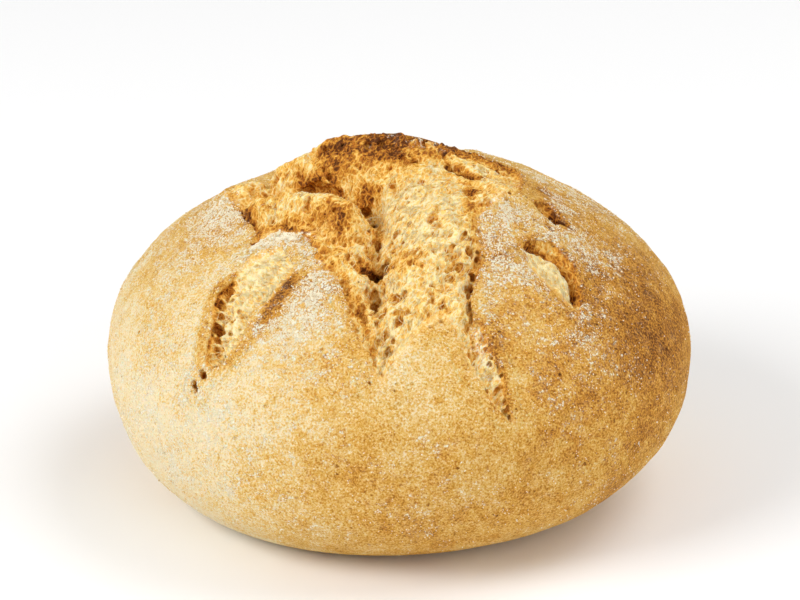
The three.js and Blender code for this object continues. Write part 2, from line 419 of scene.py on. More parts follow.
BURST = Tear(
    name="burst",
    outline=(
        (-29.5, 7), (-24, 5.6), (-19, 6.5), (-12, 7), (-4, 6.5), (3, 6.8), (9, 8), (15, 9.2), (21, 9.6),
        (21.2, 5), (21.0, 0), (20.4, -4.5), (19.4, -7.8), (16.7, -11.4), (14.0, -14.4), (13.1, -17.8),
        (14.2, -22), (13.8, -27), (13.0, -31), (12.4, -33.6), (12.8, -36.4), (12.9, -38.7), (14.6, -39.5),
        (15.3, -41.8), (16.4, -44), (17.7, -45.7), (19.1, -47.4), (19.1, -50.1), (20.2, -52.3),
        (20.7, -54.2), (19.2, -53.8), (17.4, -52.7), (16.2, -51), (14.4, -49.6), (12.3, -48),
        (11.1, -45.9), (10.3, -43.2), (9.3, -41), (7, -39.6), (3, -42.6), (-0.8, -47), (-3.9, -51.8),
        (-5.3, -47), (-7.5, -43.3), (-8.7, -39.5), (-9.8, -35), (-10.6, -31.6), (-14.3, -27),
        (-16.7, -23), (-18.0, -18.8), (-20.2, -16.2), (-23.2, -15.4), (-25.4, -17.4), (-26.0, -16.9),
        (-25.2, -13.4), (-26.8, -9.4), (-28.4, -5), (-29.7, -0.5), (-30.8, 4),
    ),
    turn=62.0,
    drop=1.2,
    curl=0.25,
    shape=(
        Band(BACK_LIP, 1.7, 3.0),
        Band(BACK_CREVICE, -4.6, 2.5),
        Band(((-17.5, -1.6), (-14.5, -3.2), (-11.6, -4.4)), -2.6, 1.5),
        Blob((-6.2, -7.2), (2.6, 2.4), -2.8),
        Band(RIGHT_CREVICE, -1.3, 2.6),
        Band(((8.4, 1.6), (11.0, 0.6), (13.7, -0.4), (16.2, 1.0)), -2.0, 0.7),
        Blob((17.5, -6), (4.6, 5.6), 2.0),
        Band(VALLEY, -4.0, 2.6),
        Band(VALLEY_FOOT, -1.3, 2.4),
        Blob((-4.4, -26.2), (2.2, 1.3), -3.7),
        Blob((-4.8, -33.6), (2.2, 2.4), -1.0),
        Blob((-4.2, -29.6), (2.4, 1.8), 1.3),
        Band(RIGHT_SLIT, -1.5, 1.0),
        Band(RIGHT_TAIL, 0.7, 2.0),
        Blob((10.1, -37.6), (1.2, 2.4), 0.7),
        Band(((-24, -6.5), (-17, -10.4), (-12.5, -12.6), (-8.8, -16.0)), 3.4, 3.2),
        Blob((-8.6, -18.0), (2.6, 3.0), 0.9),
        Blob((-10.4, -23.0), (2.0, 3.0), -0.9),
        Band(((-24, -14.4), (-19.5, -14.8), (-16.6, -18.5), (-14.5, -23)), 1.1, 1.7),
        Blob((-27, 1), (4.5, 4.5), 0.6),
        Blob((7.5, -19), (6.0, 16.0), 2.9),
        Blob((1.6, -29.5), (2.8, 5.0), 1.2),
        Blob((9.5, -36.5), (2.5, 4.0), 0.9),
        Blob((5.0, -40.0), (5.0, 3.0), 1.2),
    ),
    toast_and_shade=(
        Band(((-11, 4.2), (-4, 4.6), (2, 4.8)), 0.70, 2.2),
        Band(((-11, 1.2), (-8, 0.8), (0, 0.9)), 0.62, 3.0),
        Band(((0, 0.9), (6, 3.0)), 0.18, 2.6),
        Band(((-22, 4), (-14, 2.4)), 0.16, 2.4),
        Band(((6, 5), (12, 6), (18, 6.5)), 0.24, 2.4),
        Blob((19, 0), (3.0, 3.0), 0.22),
        Blob((19.5, 6.0), (3.0, 4.0), 0.22),
        Band(((8, 6.2), (15, 8.0), (20.5, 9.4)), 0.50, 2.4),
        Blob((-2, -4.0), (10, 3.0), 0.12),
        # Painted shade: the dark hole at the valley's middle.
        Band(((-5.8, -26.2), (-3.4, -26.2)), 1.0, 1.5),
        Blob((0.4, -26.4), (2.4, 1.6), 0.14),
        # Painted shade: a browner band down the valley between the two mounds.
        Band(((-5.2, -11), (-4.2, -16), (-4, -23)), 0.24, 1.5),
        Blob((-4.8, -34.0), (1.8, 1.8), 0.35),
        # Painted shade: the dark cave behind the front mound.
        Band(HIDDEN_CAVE, 0.5, 1.5),
        Blob((-6.2, -6.0), (2.3, 1.7), 0.75),
        Blob((-18.5, -7.5), (2.4, 2.0), 0.3),
        Blob((-9.4, -17.8), (1.9, 2.8), 0.42),
        Blob((-15, -15.5), (7, 3.0), 0.34),
        Blob((-12, -20), (5, 5), 0.20),
        Blob((-11, -24), (2.0, 4.0), 0.15),
        Blob((-25, -5), (6, 7), 0.30),
        Band(((-29.4, -1), (-27.6, -6), (-25.6, -10.8), (-24.6, -13.5), (-25.6, -16.6)), 0.40, 1.2),
        Band(((-24.5, -14.0), (-20.5, -14.6), (-17.2, -17.6)), 0.40, 1.2),
        Band(LEFT_WALL, 0.40, 1.3),
        Band(((-7.4, -37), (-6.2, -41), (-5.2, -45)), 0.30, 1.0),
        Band(((12.4, -9), (12.0, -15), (13.4, -21)), 0.40, 1.7),
        Band(((13.6, -24), (12.6, -32)), 0.35, 1.0),
        Band(((8.6, 1.4), (13.7, -0.2), (16, 1.2)), 0.70, 0.9),
        Blob((11.0, -3), (2.4, 2.4), 0.35),
        Blob((17.5, -8), (4.0, 4.0), 0.16),
        Blob((6, -9), (4.0, 3.0), 0.10),
        Blob((13.0, -7.0), (2.0, 3.4), 0.26),
        Blob((1.6, -29.0), (3.2, 2.6), 0.28),
        Blob((5, -38), (4.0, 3.0), 0.12),
    ),
    plain_toast=0.18,
    air=(
        Band(((-4, -22), (-4.4, -34), (-3.5, -41)), 0.6, 3.2),
        Band(RIGHT_TAIL, 0.6, 2.2),
        Blob((8, -20), (5.0, 12.0), 0.40),
        Band(((-12, 5), (9, 5.4)), 0.5, 2.0),
    ),
    plain_air=0.22,
    flush=(
        Blob((5.5, -40.0), (5.0, 4.0), 1.0),
        Blob((17.0, -9.0), (4.5, 5.5), 1.0),
        Blob((-29, -1), (3.0, 7.0), 0.8),
        Band(((-23, -15.6), (-18.4, -18.8), (-14.6, -27), (-11.5, -31.0)), 0.95, 2.2),
        Band(((1.6, -43.5), (-2.8, -48.6)), 0.7, 2.0),
        Band(((-4.2, -47.5), (-4, -52)), 0.7, 2.2),
        Band(((10.6, -43.6), (12.2, -47.6), (16, -51)), 0.6, 1.2),
        Band(((13.2, -18), (14, -22)), 0.6, 2.0),
    ),
    pockets=(
        (-5.6, -26.1, 1.5), (-4.0, -26.4, 1.9), (-2.4, -26.0, 1.5), (-5.0, -33.0, 1.0),
        (-4.9, -34.8, 1.0), (-4.2, -36.9, 0.9), (-2.9, -37.0, 0.8), (-0.7, -34.8, 0.9),
        (-2.8, -31.0, 0.8), (-4.6, -39.0, 0.6), (-4.3, -42.0, 0.6), (-2.6, -44.4, 0.6),
        (-1.6, -42.6, 0.5), (-4.4, -46.4, 0.6), (-3.8, -49.0, 0.6), (-16.6, -0.2, 1.6),
        (-14.8, -1.0, 1.8), (-12.9, -1.8, 1.7), (-11.2, -2.8, 1.3), (-6.6, -6.2, 1.3), (-5.6, -8.0, 1.4),
        (13.4, -25.0, 0.6), (13.0, -28.6, 0.9), (12.4, -31.8, 1.1), (12.3, -33.6, 1.0),
        (12.5, -35.4, 0.7), (13.6, -39.9, 0.5), (14.9, -40.9, 0.5), (14.6, -42.6, 0.4),
        (12.4, -44.6, 0.4), (13.4, -46.4, 0.4), (16.2, -44.6, 0.55), (17.4, -45.9, 0.5),
        (18.3, -47.4, 0.6), (16.6, -48.3, 0.4), (18.5, -49.6, 0.5), (17.6, -50.6, 0.4),
        (19.7, -51.6, 0.5), (19.9, -53.2, 0.5), (9.4, 1.3, 0.8), (11.4, 0.7, 0.9), (13.4, 0.1, 0.9),
        (15.2, 0.7, 0.8), (8.6, -31.0, 0.7), (8.4, -29.6, 0.6), (8.7, -26.4, 0.7), (8.8, -24.8, 0.6),
        (5.0, -36.6, 0.7), (5.4, -35.0, 0.6), (-0.5, -23.4, 0.6), (6.4, -20.6, 0.6), (6.2, -18.6, 0.6),
        (10.8, -21.5, 0.5), (1.7, -18.8, 0.45), (3.4, -29.0, 0.5), (1.1, -26.9, 0.5), (7.6, -36.4, 0.5),
        (-7.4, -24.4, 0.7), (-8.4, -26.0, 0.6), (-10.3, -31.5, 0.6), (-9.7, -32.8, 0.7),
        (-5.0, -30.9, 0.65), (-6.4, -31.1, 0.55), (-3.8, -31.9, 0.5), (-5.3, -35.9, 0.6),
        (-7.0, -35.6, 0.55),
    ),
    nicks=(
        (((-5.9, -50.8), (-5.3, -51.7)), 0.13), (((-1.7, -51.6), (-1.4, -52.4)), 0.2),
        (((16.2, -24.9), (17.4, -24.0), (18.8, -23.1)), 0.12),
    ),
)

LEFT_TEAR = Tear(
    name="left_tear",
    outline=(
        (-25.8, -20.2), (-21.5, -19.2), (-18.2, -20.6), (-17.2, -23.4), (-17.8, -26), (-18.8, -27.7),
        (-20.4, -29.1), (-21.8, -30.6), (-23.2, -31.6), (-25.9, -31.9), (-26.9, -33), (-27.5, -35),
        (-28.8, -36.6), (-29.4, -38), (-31, -38.9), (-32.2, -39.5), (-33.6, -40.5), (-35.2, -40.6),
        (-36, -38.8), (-36.2, -37), (-35.9, -35), (-35.3, -32.8), (-34.5, -31), (-34.2, -28.5),
        (-33.4, -26.5), (-32, -24.6), (-30, -24.4), (-28.6, -22.6), (-27.3, -21),
    ),
    turn=-48.0,
    drop=0.6,
    curl=0.4,
    shape=(
        Band(((-31.2, -26.8), (-32.8, -30.5), (-34.2, -35), (-35.0, -39.6)), -1.1, 2.0),
        Blob((-23, -24.6), (5.0, 3.5), 0.7),
        Blob((-29.4, -33.6), (1.6, 3.0), 0.4),
    ),
    toast_and_shade=(
        Band(((-30.0, -24.6), (-32.0, -24.8), (-33.6, -27), (-34.6, -30.5), (-36, -35.5)), 0.46, 0.7),
        Blob((-34.6, -36.5), (1.8, 3.0), 0.20),
        Blob((-37.1, -40.3), (0.9, 1.2), 0.4),
        Blob((-39.0, -41.5), (1.0, 1.2), 0.7),
    ),
    plain_toast=0.11,
    air=(Band(((-30.5, -27.5), (-32.6, -32), (-33.8, -37)), 0.75, 2.6),),
    plain_air=0.16,
    flush=(
        Blob((-20.0, -20.5), (5.5, 3.4), 1.0), Blob((-26.5, -21.0), (3.0, 2.4), 0.8),
        Band(((-18, -26), (-21, -30), (-25, -32)), 0.5, 1.2),
    ),
    pockets=(
        (-31.3, -26.2, 0.65), (-32.5, -27.2, 0.6), (-30.5, -27.4, 0.5), (-31.7, -28.6, 0.5),
        (-33.3, -29.2, 0.6), (-32.2, -30.4, 0.65), (-30.4, -29.6, 0.55), (-29.2, -30.6, 0.5),
        (-33.9, -31.2, 0.5), (-33.0, -32.6, 0.5), (-34.3, -33.8, 0.6), (-33.0, -34.4, 0.5),
        (-34.9, -35.6, 0.6), (-33.6, -36.4, 0.5), (-32.6, -38.0, 0.6), (-33.8, -38.8, 0.8),
        (-35.0, -39.5, 0.7), (-37.0, -40.4, 0.7), (-39.0, -41.6, 0.7), (-30.2, -32.7, 0.6),
        (-31.2, -34.6, 0.6), (-28.4, -29.2, 0.5), (-25.2, -23.1, 0.55), (-23.6, -22.8, 0.4),
        (-19.7, -23.2, 0.5), (-17.9, -21.9, 0.5), (-26.4, -26.6, 0.4),
    ),
    nicks=((((-37.2, -39.7), (-37.0, -40.7)), 0.55), (((-39.0, -41.0), (-38.9, -42.0)), 0.55)),
)

CRESCENT = Tear(
    name="crescent",
    outline=(
        (20.4, -19.6), (20.6, -22.4), (21.8, -24.7), (23.6, -26.3), (25.6, -27.6), (27.6, -28.9),
        (29.4, -30.0), (31.4, -31.0), (31.5, -26.4), (30.9, -22.9), (30.1, -21.0), (29.1, -19.1),
        (27.2, -17.6), (25.1, -17.2), (22.7, -18.0),
    ),
    turn=-70.0,
    drop=0.25,
    curl=0.5,
    shape=(
        Band(CRESCENT_CREVICE, -2.1, 0.75),
        Band(((21.8, -21.6), (24.8, -22.2), (27.2, -24.4), (29.4, -27.6)), 0.25, 1.1),
    ),
    toast_and_shade=(
        Band(CRESCENT_EDGE, 0.50, 0.95),
        Band(CRESCENT_LINE, 0.50, 0.4),
    ),
    plain_toast=0.08,
    plain_air=0.12,
    flush=(Band(((20.4, -21.8), (22.2, -24.8), (26.2, -27.9), (30.0, -30.4)), 1.0, 1.3),),
    pockets=(
        (22.0, -19.8, 0.4), (23.4, -19.7, 0.45), (24.8, -19.8, 0.4), (26.1, -20.3, 0.5),
        (27.3, -21.1, 0.45), (28.3, -22.2, 0.5), (29.2, -23.7, 0.45), (29.9, -25.3, 0.5),
        (30.5, -27.0, 0.45), (31.0, -28.7, 0.4),
    ),
)

SHORT_SLIT = Tear(
    name="short_slit",
    outline=(
        (23.0, -6.2), (24.2, -8.3), (25.4, -9.9), (26.7, -11.3), (28.4, -11.0), (29.8, -10.4),
        (28.6, -8.0), (27.4, -6.0), (26.2, -4.6), (24.6, -4.8),
    ),
    turn=-60.0,
    drop=0.6,
    curl=0.5,
    shape=(
        Band(SLIT_CREVICE, -2.6, 1.1),
        Blob((25.2, -9.4), (1.4, 1.2), 0.3),
    ),
    toast_and_shade=(
        Band(((23.8, -6.0), (25.4, -5.6), (27.4, -7.4), (29.0, -9.8)), 0.62, 1.5),
        Band(SLIT_CREVICE, 0.45, 1.0),
    ),
    plain_toast=0.12,
    plain_air=0.2,
    flush=(Band(((24.2, -8.4), (26.4, -11.2)), 0.7, 1.0),),
    pockets=((25.4, -7.6, 0.7), (26.8, -8.6, 0.8), (28.0, -9.8, 0.6)),
    nicks=((((25.1, -12.9), (25.8, -13.8)), 0.3), (((22.7, -12.3), (22.6, -13.6)), 0.22)),
)

BACK_CRESCENT = Tear(
    name="back_crescent",
    outline=((-12, 30), (-17, 34), (-22, 36.5), (-27, 37), (-23, 33.5), (-18, 31)),
    turn=60.0,
    drop=0.8,
    curl=0.5,
    shape=(Band(((-13, 31), (-18, 33.5), (-25, 36.2)), -2.6, 1.3),),
    toast_and_shade=(Band(((-14, 32), (-19, 34.8), (-25, 36.8)), 0.5, 1.6),),
    pockets=((-17.5, 33.2, 0.8), (-21.5, 35.0, 0.7)),
)

BACK_SLIT = Tear(
    name="back_slit",
    outline=((14, 26), (16.5, 31), (20.5, 35.5), (24, 38.5), (21.5, 33.5), (18, 29)),
    turn=-50.0,
    drop=0.8,
    curl=0.5,
    shape=(Band(((15, 27.5), (19, 32.5), (23.3, 37.5)), -2.4, 1.2),),
    toast_and_shade=(Band(((15.5, 29), (20, 34.5), (23, 37.6)), 0.4, 1.4),),
    pockets=((17.5, 30.6, 0.8), (20.5, 34.2, 0.7)),
)

TEARS = (BURST, LEFT_TEAR, CRESCENT, SHORT_SLIT, BACK_CRESCENT, BACK_SLIT)


@dataclass(frozen=True)
class Relief:
    """How the roll's skin and crumb stand out from the smooth dome."""

    dome: Dome = Dome()
    tears: tuple[Tear, ...] = TEARS
    lifted: Patches = (
        Blob((-7.0, 6), (14.5, 9), 3.3),
        Blob((-30, 2), (6.0, 6.0), 2.0),
        Blob((-42, 2), (13, 22), 1.0),
        Blob((-23.6, 4.5), (1.9, 7.0), -2.7),
        Blob((-13, -24), (4, 9), 1.1),
        Blob((16, -12), (5, 11), 1.0),
    )
    crumbled: Patches = (
        Blob((-20.6, -17.2), (3.8, 2.2), 1.0),
        Band(((-17.8, -18.8), (-15.2, -24)), 0.8, 1.5),
        Blob((-29, 3), (3.5, 6), 0.8),
    )
    curl_width: float = 2.2
    swell_width: float = 7.0
    swell: float = 0.45
    flush_gap: float = 3.0
    above_base: Slope = Slope(0.5, 7.0)
    broad: tuple[Unevenness, ...] = (Unevenness(0.5, 24.0), Unevenness(0.24, 9.0, 50.0))
    fine: tuple[Unevenness, ...] = (Unevenness(0.11, 3.1, 90.0), Unevenness(0.07, 1.7, 20.0))
    dimples: Unevenness = Unevenness(1.0, 1.9, 35.0)
    dimple_sink: Slope = Slope(0.6, 0.95, -0.35)
    crumbs: tuple[Unevenness, ...] = (Unevenness(0.8, 1.8, 65.0), Unevenness(0.65, 0.9, 75.0))
    curling: Unevenness = Unevenness(0.6, 5.0, middle=0.6)
    lumps: tuple[Unevenness, ...] = (
        Unevenness(0.5, 7.0, 3.0), Unevenness(0.4, 3.4, 7.0), Unevenness(0.28, 1.6, 11.0),
    )
    ragged: Unevenness = Unevenness(0.36, 2.0, layers=3, fade=0.8)
    noise: LatticeNoise = LatticeNoise(11)

    def opening(self, skin: Array) -> Array:
        """Measure how far each place is inside the nearest opening, before its edge is made ragged."""
        return np.max([tear.inside(skin) for tear in self.tears], axis=0)

    def flushness(self, skin: Array) -> Array:
        """Tell where crust and crumb pass into each other at any of the tears, 0 to 1."""
        return np.max([tear.flushness(skin) for tear in self.tears], axis=0)

    def raggedness(self, skin: Array) -> Array:
        """How far the torn edge strays from its outline at each place."""
        return self.ragged.over(self.noise, flat_points(skin))

    def edge_gap(self, skin: Array, inside: Array) -> Array:
        """Measure how far the crust is from a torn edge, with a flush edge counted as far off."""
        return np.maximum(0.0, -inside) + self.flush_gap * self.flushness(skin)

    def crust(self, skin: Array) -> Array:
        """Work out how high the crust stands.

        Args:
            skin: An (n, 2) array of [u, v].

        Returns:
            The height of the crust's outer face.
        """
        smooth = self.dome.place(skin)
        layers = (self.broad, self.fine, self.crumbs)
        broad, fine, crumbs = (all_over(layer, self.noise, smooth) for layer in layers)
        dimples = self.dimple_sink.at(self.dimples.over(self.noise, smooth))
        height = total_of(self.lifted, skin) + self.above_base.at(smooth[:, 2]) * (broad + fine + dimples)
        height += np.clip(total_of(self.crumbled, skin), 0.0, 1.0) * crumbs
        uneven = self.curling.over(self.noise, flat_points(skin))
        for tear in self.tears:
            outside = np.maximum(0.0, -tear.inside(skin))
            curl = tear.curl * (1 - tear.flushness(skin))
            height += curl * uneven * np.exp(-((outside / self.curl_width) ** 2))
            height += self.swell * curl * np.exp(-((outside / self.swell_width) ** 2))
        return height

    def crumb(self, skin: Array, tear: Tear) -> Array:
        """Work out how high the torn crumb of one tear stands, before its bubbles are taken out."""
        lumps = all_over(self.lumps, self.noise, flat_points(skin))
        return total_of(self.lifted, skin) - tear.drop + lumps + total_of(tear.shape, skin)


# --------------------------------------------------------------------------------------------------
# How browned and how floury each place is, with some painted shade and light
# --------------------------------------------------------------------------------------------------


@dataclass(frozen=True)
class Baking:
    """Where the oven browned the roll, with some painted shade and light, and where flour lies on it, from 0
    to 1.
    """

    noise: LatticeNoise = LatticeNoise(23)
    crust_brown_and_painted_light: Patches = (
        Blob((-3, 11), (15, 6), 0.45),
        Blob((49, -24), (26, 31), 0.46),
        Blob((-15, -32), (8, 9), 0.26),
        Blob((-36, -8), (14, 14), 0.19),
        Blob((-48, -24), (10, 14), 0.06),
        Blob((38, -1), (8, 8), -0.07),
        Blob((-19, -18), (5, 4), 0.12),
        Blob((24, 1), (5, 4), 0.15),
        Blob((24.7, 1.5), (1.4, 2.2), 0.3),
        Blob((16.8, -41.5), (2.4, 3), 0.2),
        Blob((18, -51), (2.0, 3), 0.15),
        Band(PETAL_RIM, 0.27, 1.9),
        Band(((-24.4, -35.2), (-28.2, -38.6), (-31.2, -40.6)), 0.12, 1.5),
        Band(PETAL_RIM[:3], 0.26, 1.8),
        Band(LEFT_TEAR_RIM, 0.34, 0.9),
        # Partly the crust's own paler bake and partly painted light, the bounced light on the lower left.
        Blob((-60, -40), (36, 36), -0.46),
        Blob((-34, -8), (14, 14), 0.03),
        Blob((4, -47), (7, 5), -0.16),
        Blob((0, -76), (34, 16), 0.17),
    )
    crust_flour: Patches = (
        Blob((-36, -6), (13, 12), 0.40),
        Blob((-30.5, -6), (3.0, 5), 0.35),
        Blob((-21.0, -17.4), (4.0, 2.6), 0.95),
        Blob((-19.0, -19.5), (3.0, 2.5), 0.5),
        Blob((-17.4, -22.0), (2.2, 3.6), 0.70),
        Blob((-27, -19.5), (4, 2.5), 0.4),
        Blob((-15, -32), (5.5, 8.0), 0.62),
        Blob((-17, -38), (8, 6), 0.52),
        Blob((16.8, -18), (4.5, 9), 0.44),
        Blob((19, -27), (6, 7), 0.38),
        Blob((24.5, -14), (5, 3), 0.35),
        Blob((34, -13), (6, 6), 0.40),
        Blob((29, -3), (4, 5), 0.40),
        Blob((33, 6), (10, 12), 0.20),
        Blob((30, -30), (10, 12), 0.10),
        Blob((52, -20), (10, 25), -0.08),
        Blob((-52, -42), (22, 22), 0.26),
        Blob((29, -40), (10, 10), 0.14),
        Band(((-18.2, -28.6), (-19.8, -31.6), (-22.0, -34.2)), -0.35, 1.5),
        Blob((0, 34), (40, 18), 0.25),
    )
    crumb_flour: Patches = (
        Blob((1, 6), (7.5, 2.2), 0.32),
        Blob((20, 1.5), (3, 3), 0.3),
        Blob((-19.5, -20.5), (4.5, 3.0), 0.75),
        Band(((-17.6, -20), (-16.2, -24), (-13.5, -28.5)), 0.4, 1.2),
        Blob((17.5, -10), (3.0, 3.0), 0.40),
        Band(((13.5, -41), (16.5, -48.5)), 0.65, 1.6),
        Blob((-27.5, -1), (2.5, 4.0), 0.15),
    )
    plain_flour: float = 0.14
    plain_brown: float = 0.34
    brown_clouds: tuple[Unevenness, ...] = (Unevenness(0.10, 11.0), Unevenness(0.07, 4.0, 9.0))
    edge_brown: float = 0.16
    edge_width: float = 0.8
    flour_clouds: Unevenness = Unevenness(0.5, 7.0, 31.0, middle=0.5, layers=3)
    least_flour: float = 0.45
    flour_above_base: Slope = Slope(0.0, 12.0)
    toast_patches: Unevenness = Unevenness(0.6, 2.2, middle=0.5, layers=3, fade=0.65)
    least_toast: float = 0.65
    patchy_toast: float = 0.6

    def crust(self, skin: Array, smooth: Array, outside: Array) -> Array:
        """Work out how browned the crust is, with painted light where its lower left is paler.

        Args:
            skin: An (n, 2) array of [u, v].
            smooth: The same places on the dome.
            outside: How far each place is from the nearest torn edge of the crust.

        Returns:
            The browning, about 0 for pale and 1 for dark.
        """
        clouds = all_over(self.brown_clouds, self.noise, smooth)
        edge = self.edge_brown * np.exp(-((outside / self.edge_width) ** 2))
        return np.clip(self.plain_brown + clouds + edge + total_of(self.crust_brown_and_painted_light, skin), 0.0, 1.0)

    def flour(self, skin: Array, smooth: Array) -> Array:
        """Work out how much flour lies on the crust.

        Args:
            skin: An (n, 2) array of [u, v].
            smooth: The same places on the dome.

        Returns:
            The share that flour covers, 0 to 1.
        """
        clouds = self.least_flour + self.flour_clouds.over(self.noise, smooth)
        amount = (self.plain_flour + total_of(self.crust_flour, skin)) * clouds
        return np.clip(amount * self.flour_above_base.at(smooth[:, 2]), 0.0, 1.0)

    def toast_and_shade(self, skin: Array, tear: Tear) -> Array:
        """Work out how browned the crumb is where it stands proud, with painted shade from some tears'
        bands.

        Args:
            skin: An (n, 2) array of [u, v].
            tear: The tear it shows in.

        Returns:
            The browning with its painted shade, 0 for pale crumb.
        """
        patches = self.patchy_toast * self.toast_patches.over(self.noise, flat_points(skin))
        toast_and_shade = total_of(tear.toast_and_shade, skin) * (self.least_toast + patches)
        return np.clip(tear.plain_toast + toast_and_shade, 0.0, 1.0)


# --------------------------------------------------------------------------------------------------
# Meshes
# --------------------------------------------------------------------------------------------------


def in_a_row(values: Array) -> Array:
    """Lay an array's numbers in one row, as a mesh takes them."""
    return np.ascontiguousarray(values, dtype=np.float32).ravel()


def write_numbers(mesh: bpy.types.Mesh, name: str, values: Array) -> None:
    """Store one number or one vector for each vertex, for the material to read.

    Args:
        mesh: The mesh.
        name: The attribute's name.
        values: The numbers, or an (n, 3) array of vectors, in vertex order.
    """
    is_vector = values.ndim == 2
    layer = mesh.attributes.new(name, "FLOAT_VECTOR" if is_vector else "FLOAT", "POINT")
    layer.data.foreach_set("vector" if is_vector else "value", in_a_row(values))


def mesh_from(name: str, points: Array, faces: Array) -> bpy.types.Mesh:
    """Make a mesh from arrays.

    Args:
        name: Its name.
        points: An (n, 3) array of places.
        faces: An (m, 3) array of point numbers.

    Returns:
        The mesh.
    """
    mesh = bpy.data.meshes.new(name)
    mesh.from_pydata(points.tolist(), [], faces.tolist())
    return mesh


def arrays_of(mesh: bpy.types.Mesh) -> tuple[Array, Array]:
    """Read a mesh of triangles back.

    Args:
        mesh: The mesh.

    Returns:
        Its points, and its triangles' point numbers.
    """
    points = np.empty(len(mesh.vertices) * 3, dtype=np.float32)
    mesh.vertices.foreach_get("co", points)
    mesh.calc_loop_triangles()
    faces = np.empty(len(mesh.loop_triangles) * 3, dtype=np.int32)
    mesh.loop_triangles.foreach_get("vertices", faces)
    return points.reshape(-1, 3), faces.reshape(-1, 3).astype(np.int64)


def numbers_of(mesh: bpy.types.Mesh, name: str) -> Array:
    """Read one of a mesh's own numbers for every vertex."""
    values = np.empty(len(mesh.vertices), dtype=np.float32)
    mesh.attributes[name].data.foreach_get("value", values)
    return values


def crosses_of(corners: Array) -> Array:
    """Multiply two sides of each triangle, for a vector along its normal that is twice its area long."""
    return np.cross(corners[:, 1] - corners[:, 0], corners[:, 2] - corners[:, 0])


def show_piece(name: str, mesh: bpy.types.Mesh, material: bpy.types.Material) -> bpy.types.Object:
    """Put a finished mesh in the scene as a piece of the roll.

    Args:
        name: The piece's name.
        mesh: Its mesh, in metres.
        material: Its finish.

    Returns:
        The piece.
    """
    mesh.name = name
    mesh.materials.append(material)
    mesh.shade_smooth()
    mesh.update()
    piece = bpy.data.objects.new(name, mesh)
    bpy.context.scene.collection.objects.link(piece)
    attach(piece, BODY)
    log.info("%s: %d faces", name, len(mesh.polygons))
    return piece


@dataclass
class Crust:
    """The roll's skin, with a basin under each tear for its crumb to sit in."""

    relief: Relief
    baking: Baking
    sphere_level: int = 7
    refinings: int = 2
    basin_start: float = -2.0
    basin_depth: float = 5.5
    fine_band: tuple[float, float] = (-5.0, -1.2)
    fine_edge: float = 0.5

    def build(self, material: bpy.types.Material) -> bpy.types.Object:
        """Make the skin.

        Args:
            material: Its finish.

        Returns:
            The piece that stands for the roll's solid.
        """
        shape = bmesh.new()
        bmesh.ops.create_icosphere(shape, subdivisions=self.sphere_level, radius=1.0)
        for _ in range(self.refinings):
            self.refine(shape)
        mesh = bpy.data.meshes.new("crust")
        shape.to_mesh(mesh)
        shape.free()
        skin = self.skin_under(arrays_of(mesh)[0])
        opening = self.relief.opening(skin)
        height = self.relief.crust(skin)
        for tear in self.relief.tears:
            floor = self.relief.crumb(skin, tear) - self.basin_depth
            height = np.where(tear.inside(skin) > self.basin_start, np.minimum(height, floor), height)
        places = self.relief.dome.place(skin, height) * MM
        mesh.vertices.foreach_set("co", in_a_row(places))
        smooth = self.relief.dome.place(skin)
        # The brown number holds the crust's browning, with painted light on its paler lower left.
        write_numbers(mesh, "brown", self.baking.crust(skin, smooth, self.relief.edge_gap(skin, opening)))
        write_numbers(mesh, "flour", self.baking.flour(skin, smooth))
        write_numbers(mesh, "crumb", (opening > self.basin_start).astype(float))
        write_numbers(mesh, "strand", places / MM)
        piece = show_piece("roll_crust", mesh, material)
        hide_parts(ROLL_NODE)
        return piece

    def skin_under(self, points: Array) -> Array:
        """Find the [u, v] that each point of the sphere is laid over."""
        return self.relief.dome.skin_of(points / np.linalg.norm(points, axis=1)[:, None])

    def refine(self, shape: bmesh.types.BMesh) -> None:
        """Split the long edges beside each tear.

        Args:
            shape: The sphere, before it is laid over the dome.
        """
        shape.verts.ensure_lookup_table()
        skin = self.skin_under(np.array([vert.co[:] for vert in shape.verts]))
        opening = self.relief.opening(skin)
        places = self.relief.dome.place(skin)
        ends = np.array([[vert.index for vert in edge.verts] for edge in shape.edges])
        nearness = opening[ends].mean(axis=1)
        length = np.linalg.norm(places[ends[:, 0]] - places[ends[:, 1]], axis=1)
        chosen = (nearness > self.fine_band[0]) & (nearness < self.fine_band[1]) & (length > self.fine_edge)
        edges = [edge for edge, take in zip(shape.edges, chosen) if take]
        bmesh.ops.subdivide_edges(shape, edges=edges, cuts=1, use_grid_fill=True)
        bmesh.ops.triangulate(shape, faces=[face for face in shape.faces if len(face.verts) > 3])


@dataclass(frozen=True)
class Bubbles:
    """One size of bubble in the crumb. A picky size is only found where the crumb is airy."""

    radius: tuple[float, float]
    to_a_square: float
    picky: float


